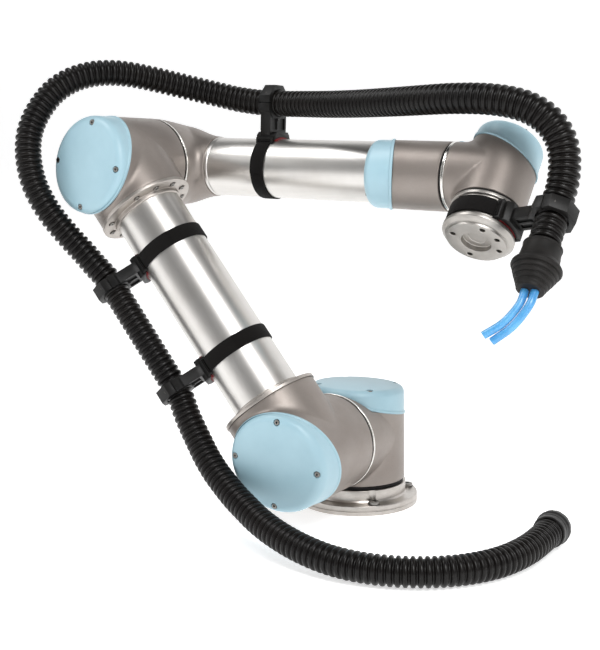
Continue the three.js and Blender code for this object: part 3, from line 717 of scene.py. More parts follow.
# ------------------------------------------------------------------ base
BASE_M = IDENT
foot = rev(dense(arc_profile([(0, 0), (74.5, 0, 0.6), (74.5, 4.6), (73.9, 5.2), (73.9, 5.9), (74.5, 6.5), (74.5, 12, 1.2), (63.5, 12), (61.2, 12.6), (60, 14.6), (60, 27, 0.7), (30, 27), (30, 6), (0, 6)]), 9), 128)
cuts, bolts = [], []
for i in range(4):
    a = math.pi / 4 + i * math.pi / 2
    x, y = 66 * math.cos(a), 66 * math.sin(a)
    cuts.append(move(rev([(0, 8), (7.6, 8), (7.6, 40), (0, 40)], 32), Matrix.Translation((x, y, 0))))
    cuts.append(move(rev([(0, -2), (4.5, -2), (4.5, 9), (0, 9)], 24), Matrix.Translation((x, y, 0))))
foot = boolean(foot, join(*[c for i, c in enumerate(cuts) if i % 2 == 0]))
foot = boolean(foot, join(*[c for i, c in enumerate(cuts) if i % 2 == 1]))
piece("base_foot_machined", foot, "base", turned_material("foot_finish", BASE_M, 0.30, (182, 176, 170), (205, 200, 195)), None, ("base_foot",), angle=30)
for i in range(4):
    a = math.pi / 4 + i * math.pi / 2
    x, y = 66 * math.cos(a), 66 * math.sin(a)
    z = 8.06
    b = rev(arc_profile([(0, 0.4), (4.1, 0.4, 0.5), (4.1, z), (6.5, z), (6.5, z + 8, 0.8), (0, z + 8)]), 40)
    sock = prism([(3.4 * math.cos(math.pi / 3 * j + 0.3), 3.4 * math.sin(math.pi / 3 * j + 0.3)) for j in range(6)], z + 3.4, z + 12)
    piece("base_bolt_%d_machined" % (i + 1), boolean(b, sock), "base", STEEL, Matrix.Translation((x, y, 0)), ("base_bolt_%d" % (i + 1),))
ring_band("base_seal_moulded", "base_seal", "base", RUBBER, BASE_M, 46, 56.8, 27.06, 31.2, 0.8)

# ------------------------------------------------------------------ shoulder
mS = basis(S0, ZP, capY)
oS = dict(LARGE)
oS.update(ring=D1 - 31.5, rim=124.8 - D1, sx=0.162, sy=-0.16, neck=-Y_RING_SHOULDER, neckR=57.5, neckBore=44, face=152 - D1, fx=0.03, fy=-0.03, fillet=9)
oS["pass"] = 24
module("shoulder_housing", "shoulder_top_cap", "shoulder", oS, mS, 120, k=7.0, lip=1.2, lip_h=3.2)
mRS = basis(Vector((0, Y_RING_SHOULDER - SEAT, D1)), capY, XP)
RINGMAT = turned_material("shoulder_ring_finish", mRS, 0.2, (225, 222, 217), (238, 236, 232))
ring_band("shoulder_joint_ring_turned", "shoulder_joint_ring", "shoulder", RINGMAT, mRS, 40, RL + 0.35, 0, RING_T, 0.7)

# ------------------------------------------------------------------ upper arm
ys = Y_RING_SHOULDER - SEAT - RING_T - GAP
ring_band("shoulder_seal_moulded", "shoulder_seal", "upper_arm", RUBBER, basis(Vector((0, ys, D1)), capY, XP), 38, RL - 1.6, 0, SEAL_T, 0.5)
oL = dict(LARGE)
oL.update(ring=(ys - SEAL_T - SEAT) - Y_UPPER, neck=68.6)
mL = basis(Su, capY, u)
module("upper_arm_lower_housing", "upper_arm_lower_cap", "upper_arm", oL, mL, 120)
ye = Y_RING_ELBOW - SEAT - RING_T - GAP
ring_band("elbow_seal_moulded", "elbow_seal", "upper_arm", RUBBER, basis(Vector((E0.x, ye, E0.z)), capY, XP), 38, RL - 1.6, 0, SEAL_T, 0.5)
oE = dict(LARGE)
oE.update(ring=(ye - SEAL_T - SEAT) - Y_UPPER, neck=65.3)
mE = basis(Eu, capY, -u)
module("elbow_housing", "elbow_cap", "upper_arm", oE, mE, 120, k=6.2)

mU = basis(Su, u, capY)
a0, a1 = TUBE_U_S0, TUBE_U_S1
tube = rev(arc_profile([(TUBE_U_IN, a0 + 1), (TUBE_U_R, a0 + 1), (TUBE_U_R, (a0 + a1) / 2), (TUBE_U_R, a1 - 1), (TUBE_U_IN, a1 - 1)]), 128)
piece("upper_arm_tube_extrusion", tube, "upper_arm", tube_material("upper_tube_finish", mU), mU, ("upper_arm_tube",), angle=28)
fl_lo = [(TUBE_U_R + 0.02, a0), (FLANGE_R, a0, 0.5), (FLANGE_R, a0 + FLANGE_T - 0.6, 0.8), (56.5, a0 + FLANGE_T), (44.6, a0 + FLANGE_T), (44.2, a0 + FLANGE_T + 0.5), (44.2, a0 + FLANGE_T + 4.6, 0.6), (TUBE_U_R + 0.02, a0 + FLANGE_T + 5.4)]
tube = join(rev(arc_profile(fl_lo), 128), rev(arc_profile([(r[0], a0 + a1 - r[1]) + tuple(r[2:]) for r in fl_lo]), 128))
FL_ANG = [30, 60, 90, 120, 150, 210, 240, 270, 300, 330]
spots = []
for an in FL_ANG:
    x, y = 50.2 * math.cos(math.radians(an)), 50.2 * math.sin(math.radians(an))
    spots.append(move(rev([(0, 0), (4.4, 0), (4.4, 30), (0, 30)], 28), Matrix.Translation((x, y, a0 + FLANGE_T - 1.5))))
    spots.append(move(rev([(0, 0), (4.4, 0), (4.4, 30), (0, 30)], 28), Matrix.Translation((x, y, a1 - FLANGE_T + 1.5 - 30))))
piece("upper_arm_tube_flanges", boolean(tube, join(*spots)), "upper_arm", turned_material("upper_flange_finish", mU, 0.42, (176, 169, 163), (196, 190, 184)), mU, ("upper_arm_tube",), angle=28)
heads = []
for an in FL_ANG:
    x, y = 50.2 * math.cos(math.radians(an)), 50.2 * math.sin(math.radians(an))
    heads.append(Matrix.Translation((x, y, a0 + FLANGE_T + 1.5)))
    heads.append(Matrix.Translation((x, y, a1 - FLANGE_T - 1.5)) @ Matrix.Rotation(math.pi, 4, "X"))
piece("upper_arm_flange_screws", copies(screw_head(3.1, 3.4, 1.5), heads), "upper_arm", STEEL, mU, angle=30)

# ------------------------------------------------------------------ forearm
mRE = basis(Vector((E0.x, Y_RING_ELBOW - SEAT, E0.z)), capY, XP)
ring_band("elbow_joint_ring_turned", "elbow_joint_ring", "forearm", turned_material("elbow_ring_finish", mRE, 0.2, (225, 222, 217), (238, 236, 232)), mRE, 40, RL + 0.35, 0, RING_T, 0.7)


def elbow_link():
    # local frame: Z along +Y from the ring, X along the forearm
    M = basis(Vector((E0.x, Y_RING_ELBOW, E0.z)), YP, fd)
    yc = Y_FORE - Y_RING_ELBOW
    CZ, CR = [0, 8, 22, 36, 52], [RL, RL, RL - 1.2, RL - 2.8, RL - 5]
    RC = CR[-1]
    cup = [(0, 0)] + list(zip(CR, CZ))
    for i in range(1, 19):
        a = i / 18 * math.pi / 2
        cup.append((RC * math.cos(a) if i < 18 else 0, 52 + 44 * math.sin(a)))
    a_ = rev(dense(cup, 3.4), 120)
    fl = [(0, 0), (52, 0), (51.6, 10), (50.4, 20), (48.2, 29), (45.3, 38), (42.3, 47), (40.0, 56), (38.6, 63), (38.2, 68.4), (37.4, 69), (0, 69)]
    f_ = rev(dense(fl, 3.4), 112)
    R = Matrix.Translation((0, 0, yc)) @ Matrix.Rotation(math.pi / 2, 4, "Y")
    move(f_, R)
    s = boolean(a_, f_, "UNION")
    bmesh.ops.remove_doubles(s, verts=s.verts, dist=0.3)

    def d_cup(p):
        q = Vector((p.x, p.y, 0))
        if p.z < 52:
            l = q.length
            return l - float(np.interp(p.z, CZ, CR)), q / max(l, 1e-6)
        e = Vector((p.x / RC, p.y / RC, (p.z - 52) / 44))
        le = e.length
        gr = Vector((p.x / RC**2, p.y / RC**2, (p.z - 52) / 44**2)) / max(le, 1e-6)
        gl = gr.length
        return (le - 1) / max(gl, 1e-6), gr / max(gl, 1e-6)

    fs, fr = [x[1] for x in fl[1:-2]], [x[0] for x in fl[1:-2]]

    def d_fl(p):
        r = math.hypot(p.y, p.z - yc)
        R_ = float(np.interp(p.x, fs, fr))
        sl = (float(np.interp(p.x + 1, fs, fr)) - float(np.interp(p.x - 1, fs, fr))) / 2
        n = Vector((-sl, p.y / max(r, 1e-6), (p.z - yc) / max(r, 1e-6)))
        l = n.length
        return (r - R_) / l, n / l

    smooth_union(s, d_cup, d_fl, 16.0, lambda p: sstep(p.z, 0, 9) * (1 - sstep(p.x, 60, 68)) * sstep(p.x, 4, 22))
    s = cut(s, rev([(0, 9), (RL - 8, 9), (RL - 8, 55), (RL - 12, 68), (30, 82), (0, 86)], 48))
    inner = rev([(0, 0), (40, 0), (36, 40), (33.2, 52), (33.2, 80), (0, 80)], 48)
    s = cut(s, move(inner, R.copy()))
    s = cut(s, move(rev([(0, TUBE_F_S0 - SEAT), (TUBE_F_R + 0.1, TUBE_F_S0 - SEAT), (TUBE_F_R + 0.1, 90), (0, 90)], 96), R.copy()))
    return s, M


s_, M_ = elbow_link()
piece("elbow_link_housing_cast", s_, "forearm", cast_material("elbow_link_finish", M_), M_, ("elbow_link_housing",), angle=30, weld=0.25)
# a point by the joint ring; nothing is placed there
ps = Vector((E0.x, Y_RING_ELBOW, E0.z))
mF = basis(Ef, fd, capY)
ft = rev(arc_profile([(TUBE_F_IN, TUBE_F_S0), (TUBE_F_R, TUBE_F_S0), (TUBE_F_R, 70.2), (TUBE_F_R + 0.9, 70.8), (TUBE_F_R + 0.9, 73.6, 0.4), (TUBE_F_R, 74.6), (TUBE_F_R, 200), (TUBE_F_R, TUBE_F_S1, 0.3), (TUBE_F_IN, TUBE_F_S1)]), 128)
piece("forearm_tube_turned", ft, "forearm", tube_material("forearm_tube_finish", mF), mF, ("forearm_tube",), angle=28)
oW1 = dict(SMALL)
oW1.update(ring=Y_FORE - (Y_RING_W1 + RING_T + GAP + SEAL_T + SEAT), neck=A3 - TUBE_F_S1 - SEAT)
mW1 = basis(J4f, YP, -fd)
module("wrist_1_housing", "wrist_1_cap", "forearm", oW1, mW1, 96, k=9.0, lip=1.5, lip_h=3.4)
ring_band("wrist_1_seal_moulded", "wrist_1_seal", "forearm", RUBBER, basis(Vector((W0.x, Y_RING_W1 + RING_T + GAP, W0.z)), YP, XP), 22, RS - 1.2, 0, SEAL_T, 0.5, 96)

# ------------------------------------------------------------------ wrists
mR1 = basis(Vector((W0.x, Y_RING_W1, W0.z)), YP, XP)
ring_band("wrist_1_ring_turned", "wrist_1_ring", "wrist_1", turned_material("wrist_1_ring_finish", mR1, 0.2, (225, 222, 217), (238, 236, 232)), mR1, 20, RS + 0.35, SEAT, RING_T, 0.6, 96)
oW2 = dict(SMALL)
oW2.update(ring=45.2 - GAP - SEAL_T, neck=Y_RING_W1 - Y_WRIST - SEAT)
mW2 = basis(J4w, -g, YP)
module("wrist_2_housing", "wrist_2_cap", "wrist_1", oW2, mW2, 96, k=9.0, lip=1.5, lip_h=3.4)
mR2 = basis(J4w, g, ZP)
ring_band("wrist_2_seal_moulded", "wrist_2_seal", "wrist_1", RUBBER, mR2, 22, RS - 1.2, 45.2 - GAP - SEAL_T + SEAT, 45.2 - GAP, 0.5, 96)
ring_band("wrist_2_ring_turned", "wrist_2_ring", "wrist_2", turned_material("wrist_2_ring_finish", mR2, 0.2, (225, 222, 217), (238, 236, 232)), mR2, 20, RS + 0.35, 45.2, 45.2 + RING_T, 0.6, 96)
oW3 = dict(SMALL)
oW3.update(ring=43.1 - GAP - SEAL_T, neck=D5 - 45.2 - RING_T - SEAT)
mW3 = basis(J56, -h, -g)
module("wrist_3_housing", "wrist_3_cap", "wrist_2", oW3, mW3, 96, k=8.3, lip=1.5, lip_h=3.4)
mT = basis(J56, h, g)
ring_band("wrist_3_seal_moulded", "wrist_3_seal", "wrist_2", RUBBER, mT, 22, RS - 1.2, 43.1 - GAP - SEAL_T + SEAT, 43.1 - GAP, 0.5, 96)

# ------------------------------------------------------------------ tool flange
tf = rev(dense(arc_profile([(0, 43.1), (RS + 0.3, 43.1, 0.6), (RS + 0.3, 46.6, 0.5), (35.4, 47.4), (35.4, 70.6), (TOOL_R, 72, 0.5), (TOOL_R, 75.5, 1.2), (33.5, 79.2, 0.6), (31.7, 79.6), (31.5, 80.0), (31.5, D6, 0.5), (15.75, D6, 0.6), (15.75, D6 - 6.2, 1.0), (9.5, D6 - 6.2), (9.0, D6 - 6.7), (0, D6 - 6.7)]), 9), 128)
TOOL_HOLES = [(59.5, 2.9), (149.5, 2.9), (239.5, 2.9), (329.5, 2.9), (14.5, 2.9)]
hs = [move(rev([(0, D6 - 8), (r, D6 - 8), (r, D6 - 0.5), (r + 0.5, D6 + 0.01), (r + 0.5, D6 + 4), (0, D6 + 4)], 28), Matrix.Translation((25 * math.cos(math.radians(a)), 25 * math.sin(math.radians(a)), 0))) for a, r in TOOL_HOLES]
piece("tool_flange_turned", boolean(tf, join(*hs)), "wrist_3", turned_material("tool_flange_finish", mT, 0.38, (168, 164, 159), (186, 182, 177)), mT, ("tool_flange",), angle=30)

# ------------------------------------------------------------------ clips


def clip(name, body, o, z, x, tubeR, off, padT=2.2, padL=14.5, footL=13.5, fr=2.6, neckW=19.5):
    M = basis(o, z, x)
    c = off + tubeR
    # curved rubber pad, its outer face eased half a millimetre in at the two ends
    rp0, rp1 = tubeR + 0.15, tubeR + 0.15 + padT
    # curved rubber pad with moulded ribs at its ends
    amax = math.asin(15.5 / rp1)
    bm = bmesh.new()
    rows = []
    NA, NZ = 28, 12
    sec = []
    for i in range(NZ + 1):
        sec.append((rp1 - (0.5 if i in (0, NZ) else 0.0), -padL + 2 * padL * i / NZ))
    for j in range(NA + 1):
        a = -amax + 2 * amax * j / NA
        row = []
        for r, zz in sec:
            row.append(bm.verts.new((r * math.cos(a), r * math.sin(a), zz)))
        for r, zz in [(rp0, padL), (rp0, -padL)]:
            row.append(bm.verts.new((r * math.cos(a), r * math.sin(a), zz)))
        rows.append(row)
    n = len(rows[0])
    for j in range(NA):
        for i in range(n):
            k = (i + 1) % n
            bm.faces.new((rows[j][i], rows[j][k], rows[j + 1][k], rows[j + 1][i]))
    bm.faces.new(rows[0])
    bm.faces.new(rows[-1])
    bmesh.ops.recalc_face_normals(bm, faces=bm.faces)
    piece(name + "_pad_moulded", bm, body, PAD, M, (name + "_pad",), angle=30)

    # bracket: saddle foot, neck with two side webs, eight-sided hose block in two halves
    foot_ = [(tubeR - 9.5, -17), (tubeR + 4.2, -17), (tubeR + 8.5, -12.5), (tubeR + 8.5, 12.5), (tubeR + 4.2, 17), (tubeR - 9.5, 17)]
    b = prism(foot_, -footL, footL)
    b = boolean(b, prism([(tubeR + 4, -neckW + 1.5), (tubeR + 11, -neckW), (c - 10, -neckW), (c - 10, neckW), (tubeR + 11, neckW), (tubeR + 4, neckW - 1.5)], -6.6, 6.6), "UNION")
    octo = [(c + 23.9 * math.cos(math.radians(22.5 + 45 * i)), 23.9 * math.sin(math.radians(22.5 + 45 * i))) for i in range(8)]
    b = boolean(b, prism(octo, -7.5, 7.5), "UNION")
    # parting groove of the hinged half, lightening pockets in the neck faces, saddle and hose bores
    b = boolean(b, join(block(c - 0.5, c + 0.5, 17.5, 30, -12, 12), block(c - 0.5, c + 0.5, -30, -17.5, -12, 12),
                        block(tubeR + 11.5, c - 18.5, -neckW + 3.5, -1.6, 4.6, 12), block(tubeR + 11.5, c - 18.5, 1.6, neckW - 3.5, 4.6, 12), block(tubeR + 11.5, c - 18.5, -neckW + 3.5, -1.6, -12, -4.6), block(tubeR + 11.5, c - 18.5, 1.6, neckW - 3.5, -12, -4.6)))
    b = boolean(b, rev([(0, -60), (rp1 + SEAT, -60), (rp1 + SEAT, 60), (0, 60)], 96))
    b = boolean(b, move(rev([(0, -60), (HOSE_R + 0.75, -60), (HOSE_R + 0.75, 60), (0, 60)], 56), Matrix.Translation((c, 0, 0))))
    frames = []
    W = STRAP_W / 2
    for sgn in (-1, 1):
        f = block(-4.5, 3, -1.6, 1.6, -W - fr, W + fr)
        f = boolean(f, block(-2.6, 1.1, -4, 4, -W - 0.4, W + 0.4))
        tilt = Matrix.Translation((tubeR - 1.5, sgn * 19.8, 0))
        move(f, tilt)
        arm = block(tubeR - 3.4, tubeR + 1.6, min(sgn * 15, sgn * 18.6), max(sgn * 15, sgn * 18.6), -W - fr + 0.2, W + fr - 0.2)
        arm = boolean(arm, block(tubeR - 20, tubeR + 20, -60, 60, -W + 3, W - 3))
        frames += [f, arm]
    for f in frames:
        b = boolean(b, f, "UNION")
    b = boolean(b, rev([(0, -60), (tubeR + 0.3, -60), (tubeR + 0.3, 60), (0, 60)], 96))
    piece(name + "_bracket_moulded", b, body, BLACK, M, (name + "_bracket",), angle=30, bevel=0.55, segs=2)
    # clamp screws in the block
    extra = []
    for sgn in (-1, 1):
        q = Matrix.Translation((c + 10.5, sgn * 19.2, 0)) @ Matrix.Rotation(-sgn * math.pi / 2, 4, "X")
        extra.append(q)
    # strap: band round the tube from buckle to buckle, and its tail folded back outside
    st = []
    r0, r1 = tubeR + 0.2, tubeR + 0.2 + STRAP_T
    e0 = math.asin(21.2 / r1)

    def band(ra, rb, fa, fb, za, zb, n=90):
        bm = bmesh.new()
        rows = []
        for j in range(n + 1):
            a = fa + (fb - fa) * j / n
            row = []
            ed = 0.35
            for r, zz in [(ra, za), (ra, zb), (rb - ed, zb), (rb, zb - ed * 1.4), (rb, (za + zb) / 2), (rb, za + ed * 1.4), (rb - ed, za)]:
                row.append(bm.verts.new((r * math.cos(a), r * math.sin(a), zz)))
            rows.append(row)
        k = len(rows[0])
        for j in range(n):
            for i in range(k):
                i2 = (i + 1) % k
                bm.faces.new((rows[j][i], rows[j][i2], rows[j + 1][i2], rows[j + 1][i]))
        bm.faces.new(rows[0])
        bm.faces.new(rows[-1])
        bmesh.ops.recalc_face_normals(bm, faces=bm.faces)
        return bm

    st.append(band(r0, r1, e0, 2 * math.pi - e0, -W, W))
    st.append(band(r1 + 0.08, r1 + 1.3, e0 + 0.06, e0 + 1.15, -W + 0.2, W - 0.2, 40))
    # loops through the buckle bars
    for sgn in (-1, 1):
        loop = []
        for j in range(13):
            a = math.pi * (j / 12)
            loop.append((tubeR - 3.1 + 1.7 * math.cos(a) + 0.9, sgn * (19.8 + 2.5 * math.sin(a) - 0.6)))
        pr = prism([(p[0], p[1]) for p in loop], -W + 0.3, W - 0.3)
        st.append(pr)
    piece(name + "_strap_woven", join(*st), body, webbing_material(name + "_webbing", M), M, (name + "_strap",), angle=40)
    piece(name + "_clamp_screws", copies(screw_head(2.4, 2.4, 1.2, 20), extra), body, STEEL_DARK, M, angle=30)


clip("clip_upper_arm_low", "upper_arm", Su + u * CLIP_U1, u, cU, TUBE_U_R, CLIP_OFF)
clip("clip_upper_arm_high", "upper_arm", Su + u * CLIP_U2, u, cU, TUBE_U_R, CLIP_OFF)
clip("clip_forearm", "forearm", Ef + fd * CLIP_F, fd, nF, TUBE_F_R, CLIP_OFF_F)
clip("clip_tool", "wrist_3", T0 + h * (CLIP_T - 6.9), h, cT, 35.4, CLIP_OFF_T + TOOL_R - 35.4, 2.8, 10.8, 11, 1.9, 10.5)

# ------------------------------------------------------------------ hose route, the same points as the CAD
def onU(s):
    return Su + u * s + cU * (TUBE_U_R + CLIP_OFF)


def onF(s):
    return Ef + fd * s + nF * (TUBE_F_R + CLIP_OFF_F)


def onT(s):
    return T0 + h * s + cT * (TOOL_R + CLIP_OFF_T)


TAIL = [[274.4, -55.4, 20.4], [274.9, -97.4, 19.3], [272.6, -132.1, 17.9], [267.1, -159.4, 17], [259.6, -181.2, 16.5], [250.4, -199, 16.3], [240, -213.9, 16.2], [228.5, -226.6, 16.2], [215.9, -237.2, 16.2], [202.2, -245.9, 16.2], [187.7, -252.9, 16.2], [172.2, -258.5, 16.3], [155.9, -262.3, 16.5]]
BASE_LOOP = [[138.8, -264.6, 16.9], [121, -265.4, 17.8], [102.6, -264.4, 19.2], [83.6, -262, 21.6], [64.1, -258, 24.4], [44.3, -252.6, 28], [24, -246, 32.4], [3.4, -238.4, 38.2], [-16.7, -230, 45.6], [-37, -221.8, 54], [-56, -214, 64], [-73.9, -207, 75.2], [-89.7, -200.6, 88], [-103.5, -194.8, 102], [-116.3, -190, 116.8], [-127.9, -186.2, 132.4]]
ELBOW_LOOP = [[-261.3, -187, 304.8], [-273.4, -191.5, 319.6], [-285.6, -197.5, 334.6], [-297, -204, 350.4], [-307.6, -210, 366.8], [-317, -214.5, 384.4], [-325.4, -216.5, 402.4], [-332, -216, 422.2], [-336.6, -213, 442.4], [-338.4, -207.6, 462.6], [-336.8, -199, 481.6], [-331.8, -188, 499.6], [-324.5, -175.9, 514.8], [-314.4, -161.7, 526.4], [-303.6, -147.1, 533.6], [-292.3, -132.2, 537.4], [-280.2, -116.8, 538.4], [-268.1, -101.5, 537], [-255.3, -86.7, 533.8], [-241.7, -72.4, 529.7], [-227.1, -59.1, 525.2], [-211.3, -46.9, 520.4], [-194.3, -36.3, 515.4], [-176.2, -27.5, 510.4], [-156.5, -20.9, 505.2]]
WRIST_LOOP = [[-87.8, -17.6, 497], [-61.7, -23.4, 495.4], [-34.1, -32.9, 493.6], [-5.4, -45.1, 491.9], [23.9, -59.5, 490.4], [53, -75, 489.2], [81.4, -90.4, 488.2], [108.3, -104.6, 487.4], [133.5, -116.8, 486.8], [156.7, -126.6, 486.4], [178.2, -134, 486], [198.3, -139.4, 485.2], [217.1, -142.8, 484], [234.9, -144.6, 482], [251.2, -145.2, 479], [265.8, -145, 474.6], [278.2, -144.4, 468.6], [288.2, -143.6, 461.2], [296.4, -143, 452], [302.6, -142.8, 441], [306.6, -143.8, 427.6], [308.2, -146.8, 412], [308, -151.6, 396.6]]
route = [vec(*p) for p in TAIL + BASE_LOOP] + [onU(CLIP_U1 - 8), onU(CLIP_U1 + 8), onU((CLIP_U1 + CLIP_U2) / 2), onU(CLIP_U2 - 8), onU(CLIP_U2 + 8)]
route += [vec(*p) for p in ELBOW_LOOP] + [onF(CLIP_F - 8), onF(CLIP_F + 8)] + [vec(*p) for p in WRIST_LOOP]
route += [onT(CLIP_T - 14.9), onT(CLIP_T + 1.1), onT(8), onT(34), onT(56) + vec(-2, -1, 0), onT(78) + vec(-6, -4, -1)]


def catmull(points, n=40):
    """centripetal Catmull-Rom through the points"""
    P = [np.array(p, float) for p in points]
    out = []
    L = len(P)
    for i in range(L - 1):
        p1, p2 = P[i], P[i + 1]
        p0 = P[i - 1] if i > 0 else 2 * p1 - p2
        p3 = P[i + 2] if i + 2 < L else 2 * p2 - p1
        d0, d1_, d2_ = [max(np.linalg.norm(b - a) ** 0.5, 1e-4) for a, b in ((p0, p1), (p1, p2), (p2, p3))]
        m1 = ((p1 - p0) / d0 - (p2 - p0) / (d0 + d1_) + (p2 - p1) / d1_) * d1_
        m2 = ((p2 - p1) / d1_ - (p3 - p1) / (d1_ + d2_) + (p3 - p2) / d2_) * d1_
        for k in range(n):
            t = k / n
            out.append((2 * t**3 - 3 * t**2 + 1) * p1 + (t**3 - 2 * t**2 + t) * m1 + (-2 * t**3 + 3 * t**2) * p2 + (t**3 - t**2) * m2)
    out.append(P[-1])
    return np.array(out)


class Line:
    def __init__(self, pts):
        self.p = pts
        self.s = np.concatenate([[0], np.cumsum(np.linalg.norm(np.diff(pts, axis=0), axis=1))])
        self.L = float(self.s[-1])

    def at(self, s):
        return np.stack([np.interp(s, self.s, self.p[:, k]) for k in range(3)], -1)

    def nearest(self, p):
        return float(self.s[int(np.linalg.norm(self.p - np.array(p), axis=1).argmin())])


HL = Line(catmull(route))
sL, sH, sF, sT = HL.nearest(onU(CLIP_U1)), HL.nearest(onU(CLIP_U2)), HL.nearest(onF(CLIP_F)), HL.nearest(onT(CLIP_T - 6.9))
sEnd = sT + 47.0
PITCH = 7.4


def frames_along(line, ss):
    """parallel-transported frames, the same for every piece of the line"""
    pts = line.at(ss)
    tan = line.at(np.minimum(ss + 1.0, line.L)) - line.at(np.maximum(ss - 1.0, 0))
    tan /= np.linalg.norm(tan, axis=1)[:, None]
    n = np.cross(tan[0], [0, 0, 1.0])
    n /= np.linalg.norm(n)
    ns = [n]
    for i in range(1, len(ss)):
        n = ns[-1] - tan[i] * (ns[-1] @ tan[i])
        ns.append(n / np.linalg.norm(n))
    ns = np.array(ns)
    return pts, ns, np.cross(tan, ns)


def hose_radius(ph):
    """rounded crest, narrow valley"""
    if ph < 0.66:
        x = (ph - 0.33) / 0.33
        return 13.9 + 2.1 * max(0.0, 1 - abs(x) ** 2.4) ** 0.5
    x = abs((ph - 0.83) / 0.17)
    return 13.0 + 0.9 * x**2


PHASES = [0.0, 0.025, 0.07, 0.14, 0.23, 0.33, 0.43, 0.52, 0.59, 0.635, 0.66, 0.745, 0.83, 0.915]
AROUND = 44
# stations of the whole hose once, so that neighbouring pieces share their rings
stations, radii = [], []
k_ = 0
while k_ * PITCH < sEnd + PITCH:
    for ph in PHASES:
        stations.append((k_ + ph) * PITCH)
        radii.append(hose_radius(ph))
    k_ += 1
stations, radii = np.array(stations), np.array(radii)
ok = (stations >= 2.5) & (stations <= sEnd)
stations, radii = stations[ok], radii[ok]
HP, HN, HB = frames_along(HL, stations)


def hose_piece(name, s0, s1, a, b, start, end, nodes, caps=(True, True)):
    sel = np.where((stations >= s0 - 1e-6) & (stations <= s1 + 1e-6))[0]
    verts, faces = [], []
    ang = np.arange(AROUND) / AROUND * 2 * math.pi
    ca, sa = np.cos(ang), np.sin(ang)
    for i in sel:
        verts.append(HP[i] + radii[i] * (HN[i] * ca[:, None] + HB[i] * sa[:, None]))
    rin = 12.4
    for i in (sel[-1], sel[-1] - 4, sel[0] + 4, sel[0]):
        verts.append(HP[i] + rin * (HN[i] * ca[:, None] + HB[i] * sa[:, None]))
    verts = np.concatenate(verts) * 0.001
    nr = len(sel)
    rows = list(range(nr)) + [nr, nr + 1]
    for q in range(len(rows) - 1):
        r0, r1 = rows[q], rows[q + 1]
        for j in range(AROUND):
            k = (j + 1) % AROUND
            faces.append((r0 * AROUND + j, r0 * AROUND + k, r1 * AROUND + k, r1 * AROUND + j))
    faces.append(tuple(nr * AROUND + AROUND + j for j in range(AROUND)))  # web inside the end
    for r0, r1 in ((nr + 2, nr + 3), (nr + 3, 0)):
        for j in range(AROUND):
            k = (j + 1) % AROUND
            faces.append((r0 * AROUND + j, r0 * AROUND + k, r1 * AROUND + k, r1 * AROUND + j))
    faces.append(tuple((nr + 2) * AROUND + j for j in range(AROUND))[::-1])
    me = bpy.data.meshes.new(name)
    me.from_pydata([tuple(v) for v in verts], [], faces)
    bm = bmesh.new()
    bm.from_mesh(me)
    bmesh.ops.recalc_face_normals(bm, faces=bm.faces)
    bm.to_mesh(me)
    bm.free()
    me.materials.append(HOSE)
    me.shade_smooth()
    me.set_sharp_from_angle(angle=math.radians(62))
    o = bpy.data.objects.new(name, me)
    bpy.context.scene.collection.objects.link(o)
    if b is None:
        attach(o, a)
    else:
        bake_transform(o)
    if nodes:
        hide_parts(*nodes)
    PIECES[name] = o
    path = HL.at(np.linspace(stations[sel[0]], stations[sel[-1]], max(60, int((s1 - s0) / 4)))) * 0.001
    return o, [tuple(float(c) for c in p) for p in path]


def snap(s):
    """the nearest rib valley"""
    return (math.floor(s / PITCH) + 0.83) * PITCH


sA = snap(sL - 178)
sW1, sW2 = snap(sF + (sEnd - sF) * 0.338), snap(sF + (sEnd - sF) * 0.668)
print("hose stations", dict(low=sL, high=sH, fore=sF, tool=sT, end=sEnd, a=sA, w1=sW1, w2=sW2))
cH, cF_ = snap(sH), snap(sF)
P = HL.at
hoseA, pathA = hose_piece("hose_base_tail", 2.5, sA, "base", "shoulder", P(120.0), P(sA - 12), ("hose_base_run",))
hoseB, pathB = hose_piece("hose_upper_arm_rise", sA, cH, "shoulder", "upper_arm", P(sA + 4), P(sL - 14), ("hose_base_run", "hose_upper_arm_run"))
hoseC, pathC = hose_piece("hose_elbow_arc", cH, cF_, "upper_arm", "forearm", P(sH + 40), P(sF - 14), ("hose_elbow_loop",))
hoseD, pathD = hose_piece("hose_wrist_first", cF_, sW1, "forearm", "wrist_1", P(sF + 14), P(sW1 - 10), ("hose_wrist_loop",))
hoseE, pathE = hose_piece("hose_wrist_second", sW1, sW2, "wrist_1", "wrist_2", P(sW1 + 6), P(sW2 - 8), ("hose_wrist_loop",))
hoseF, pathF = hose_piece("hose_wrist_third", sW2, sEnd, "wrist_2", "wrist_3", P(sW2 + 6), P(sT - 14), ("hose_wrist_loop", "hose_end_run"))

# end collar of the tail
t0 = HL.at(np.array([8.0]))[0] + (HL.at(np.array([8.5]))[0] - HL.at(np.array([7.5]))[0]) * 0
tan0 = HL.at(np.array([9.0]))[0] - HL.at(np.array([7.0]))[0]
mC = basis(Vector(HL.at(np.array([0.0]))[0]), Vector(tan0), ZP)
col = rev(arc_profile([(11.4, -2), (19.2, -2, 1.3), (19.8, 5.4, 0.9), (18.5, 7.4), (18.2, 8.2), (18.2, 11.2, 0.5), (17.7, 11.8), (17.7, 13.4), (18.2, 14.0), (18.2, 20, 0.9), (16.2, 20), (16.2, 1.2), (11.4, 1.2)]), 64)
nots = [move(block(18.6, 30, -1.6, 1.6, -6, 5.6), Matrix.Rotation(2 * math.pi * i / 12, 4, "Z")) for i in range(12)]
col = boolean(col, join(*nots))
collar = piece("hose_end_collar_moulded", col, "base", plastic_material("collar_nylon", (17, 17, 17), (30, 29, 28), rough=0.4, grain=1.8, bump=0.15), mC, ("hose_end_collar",), angle=30)

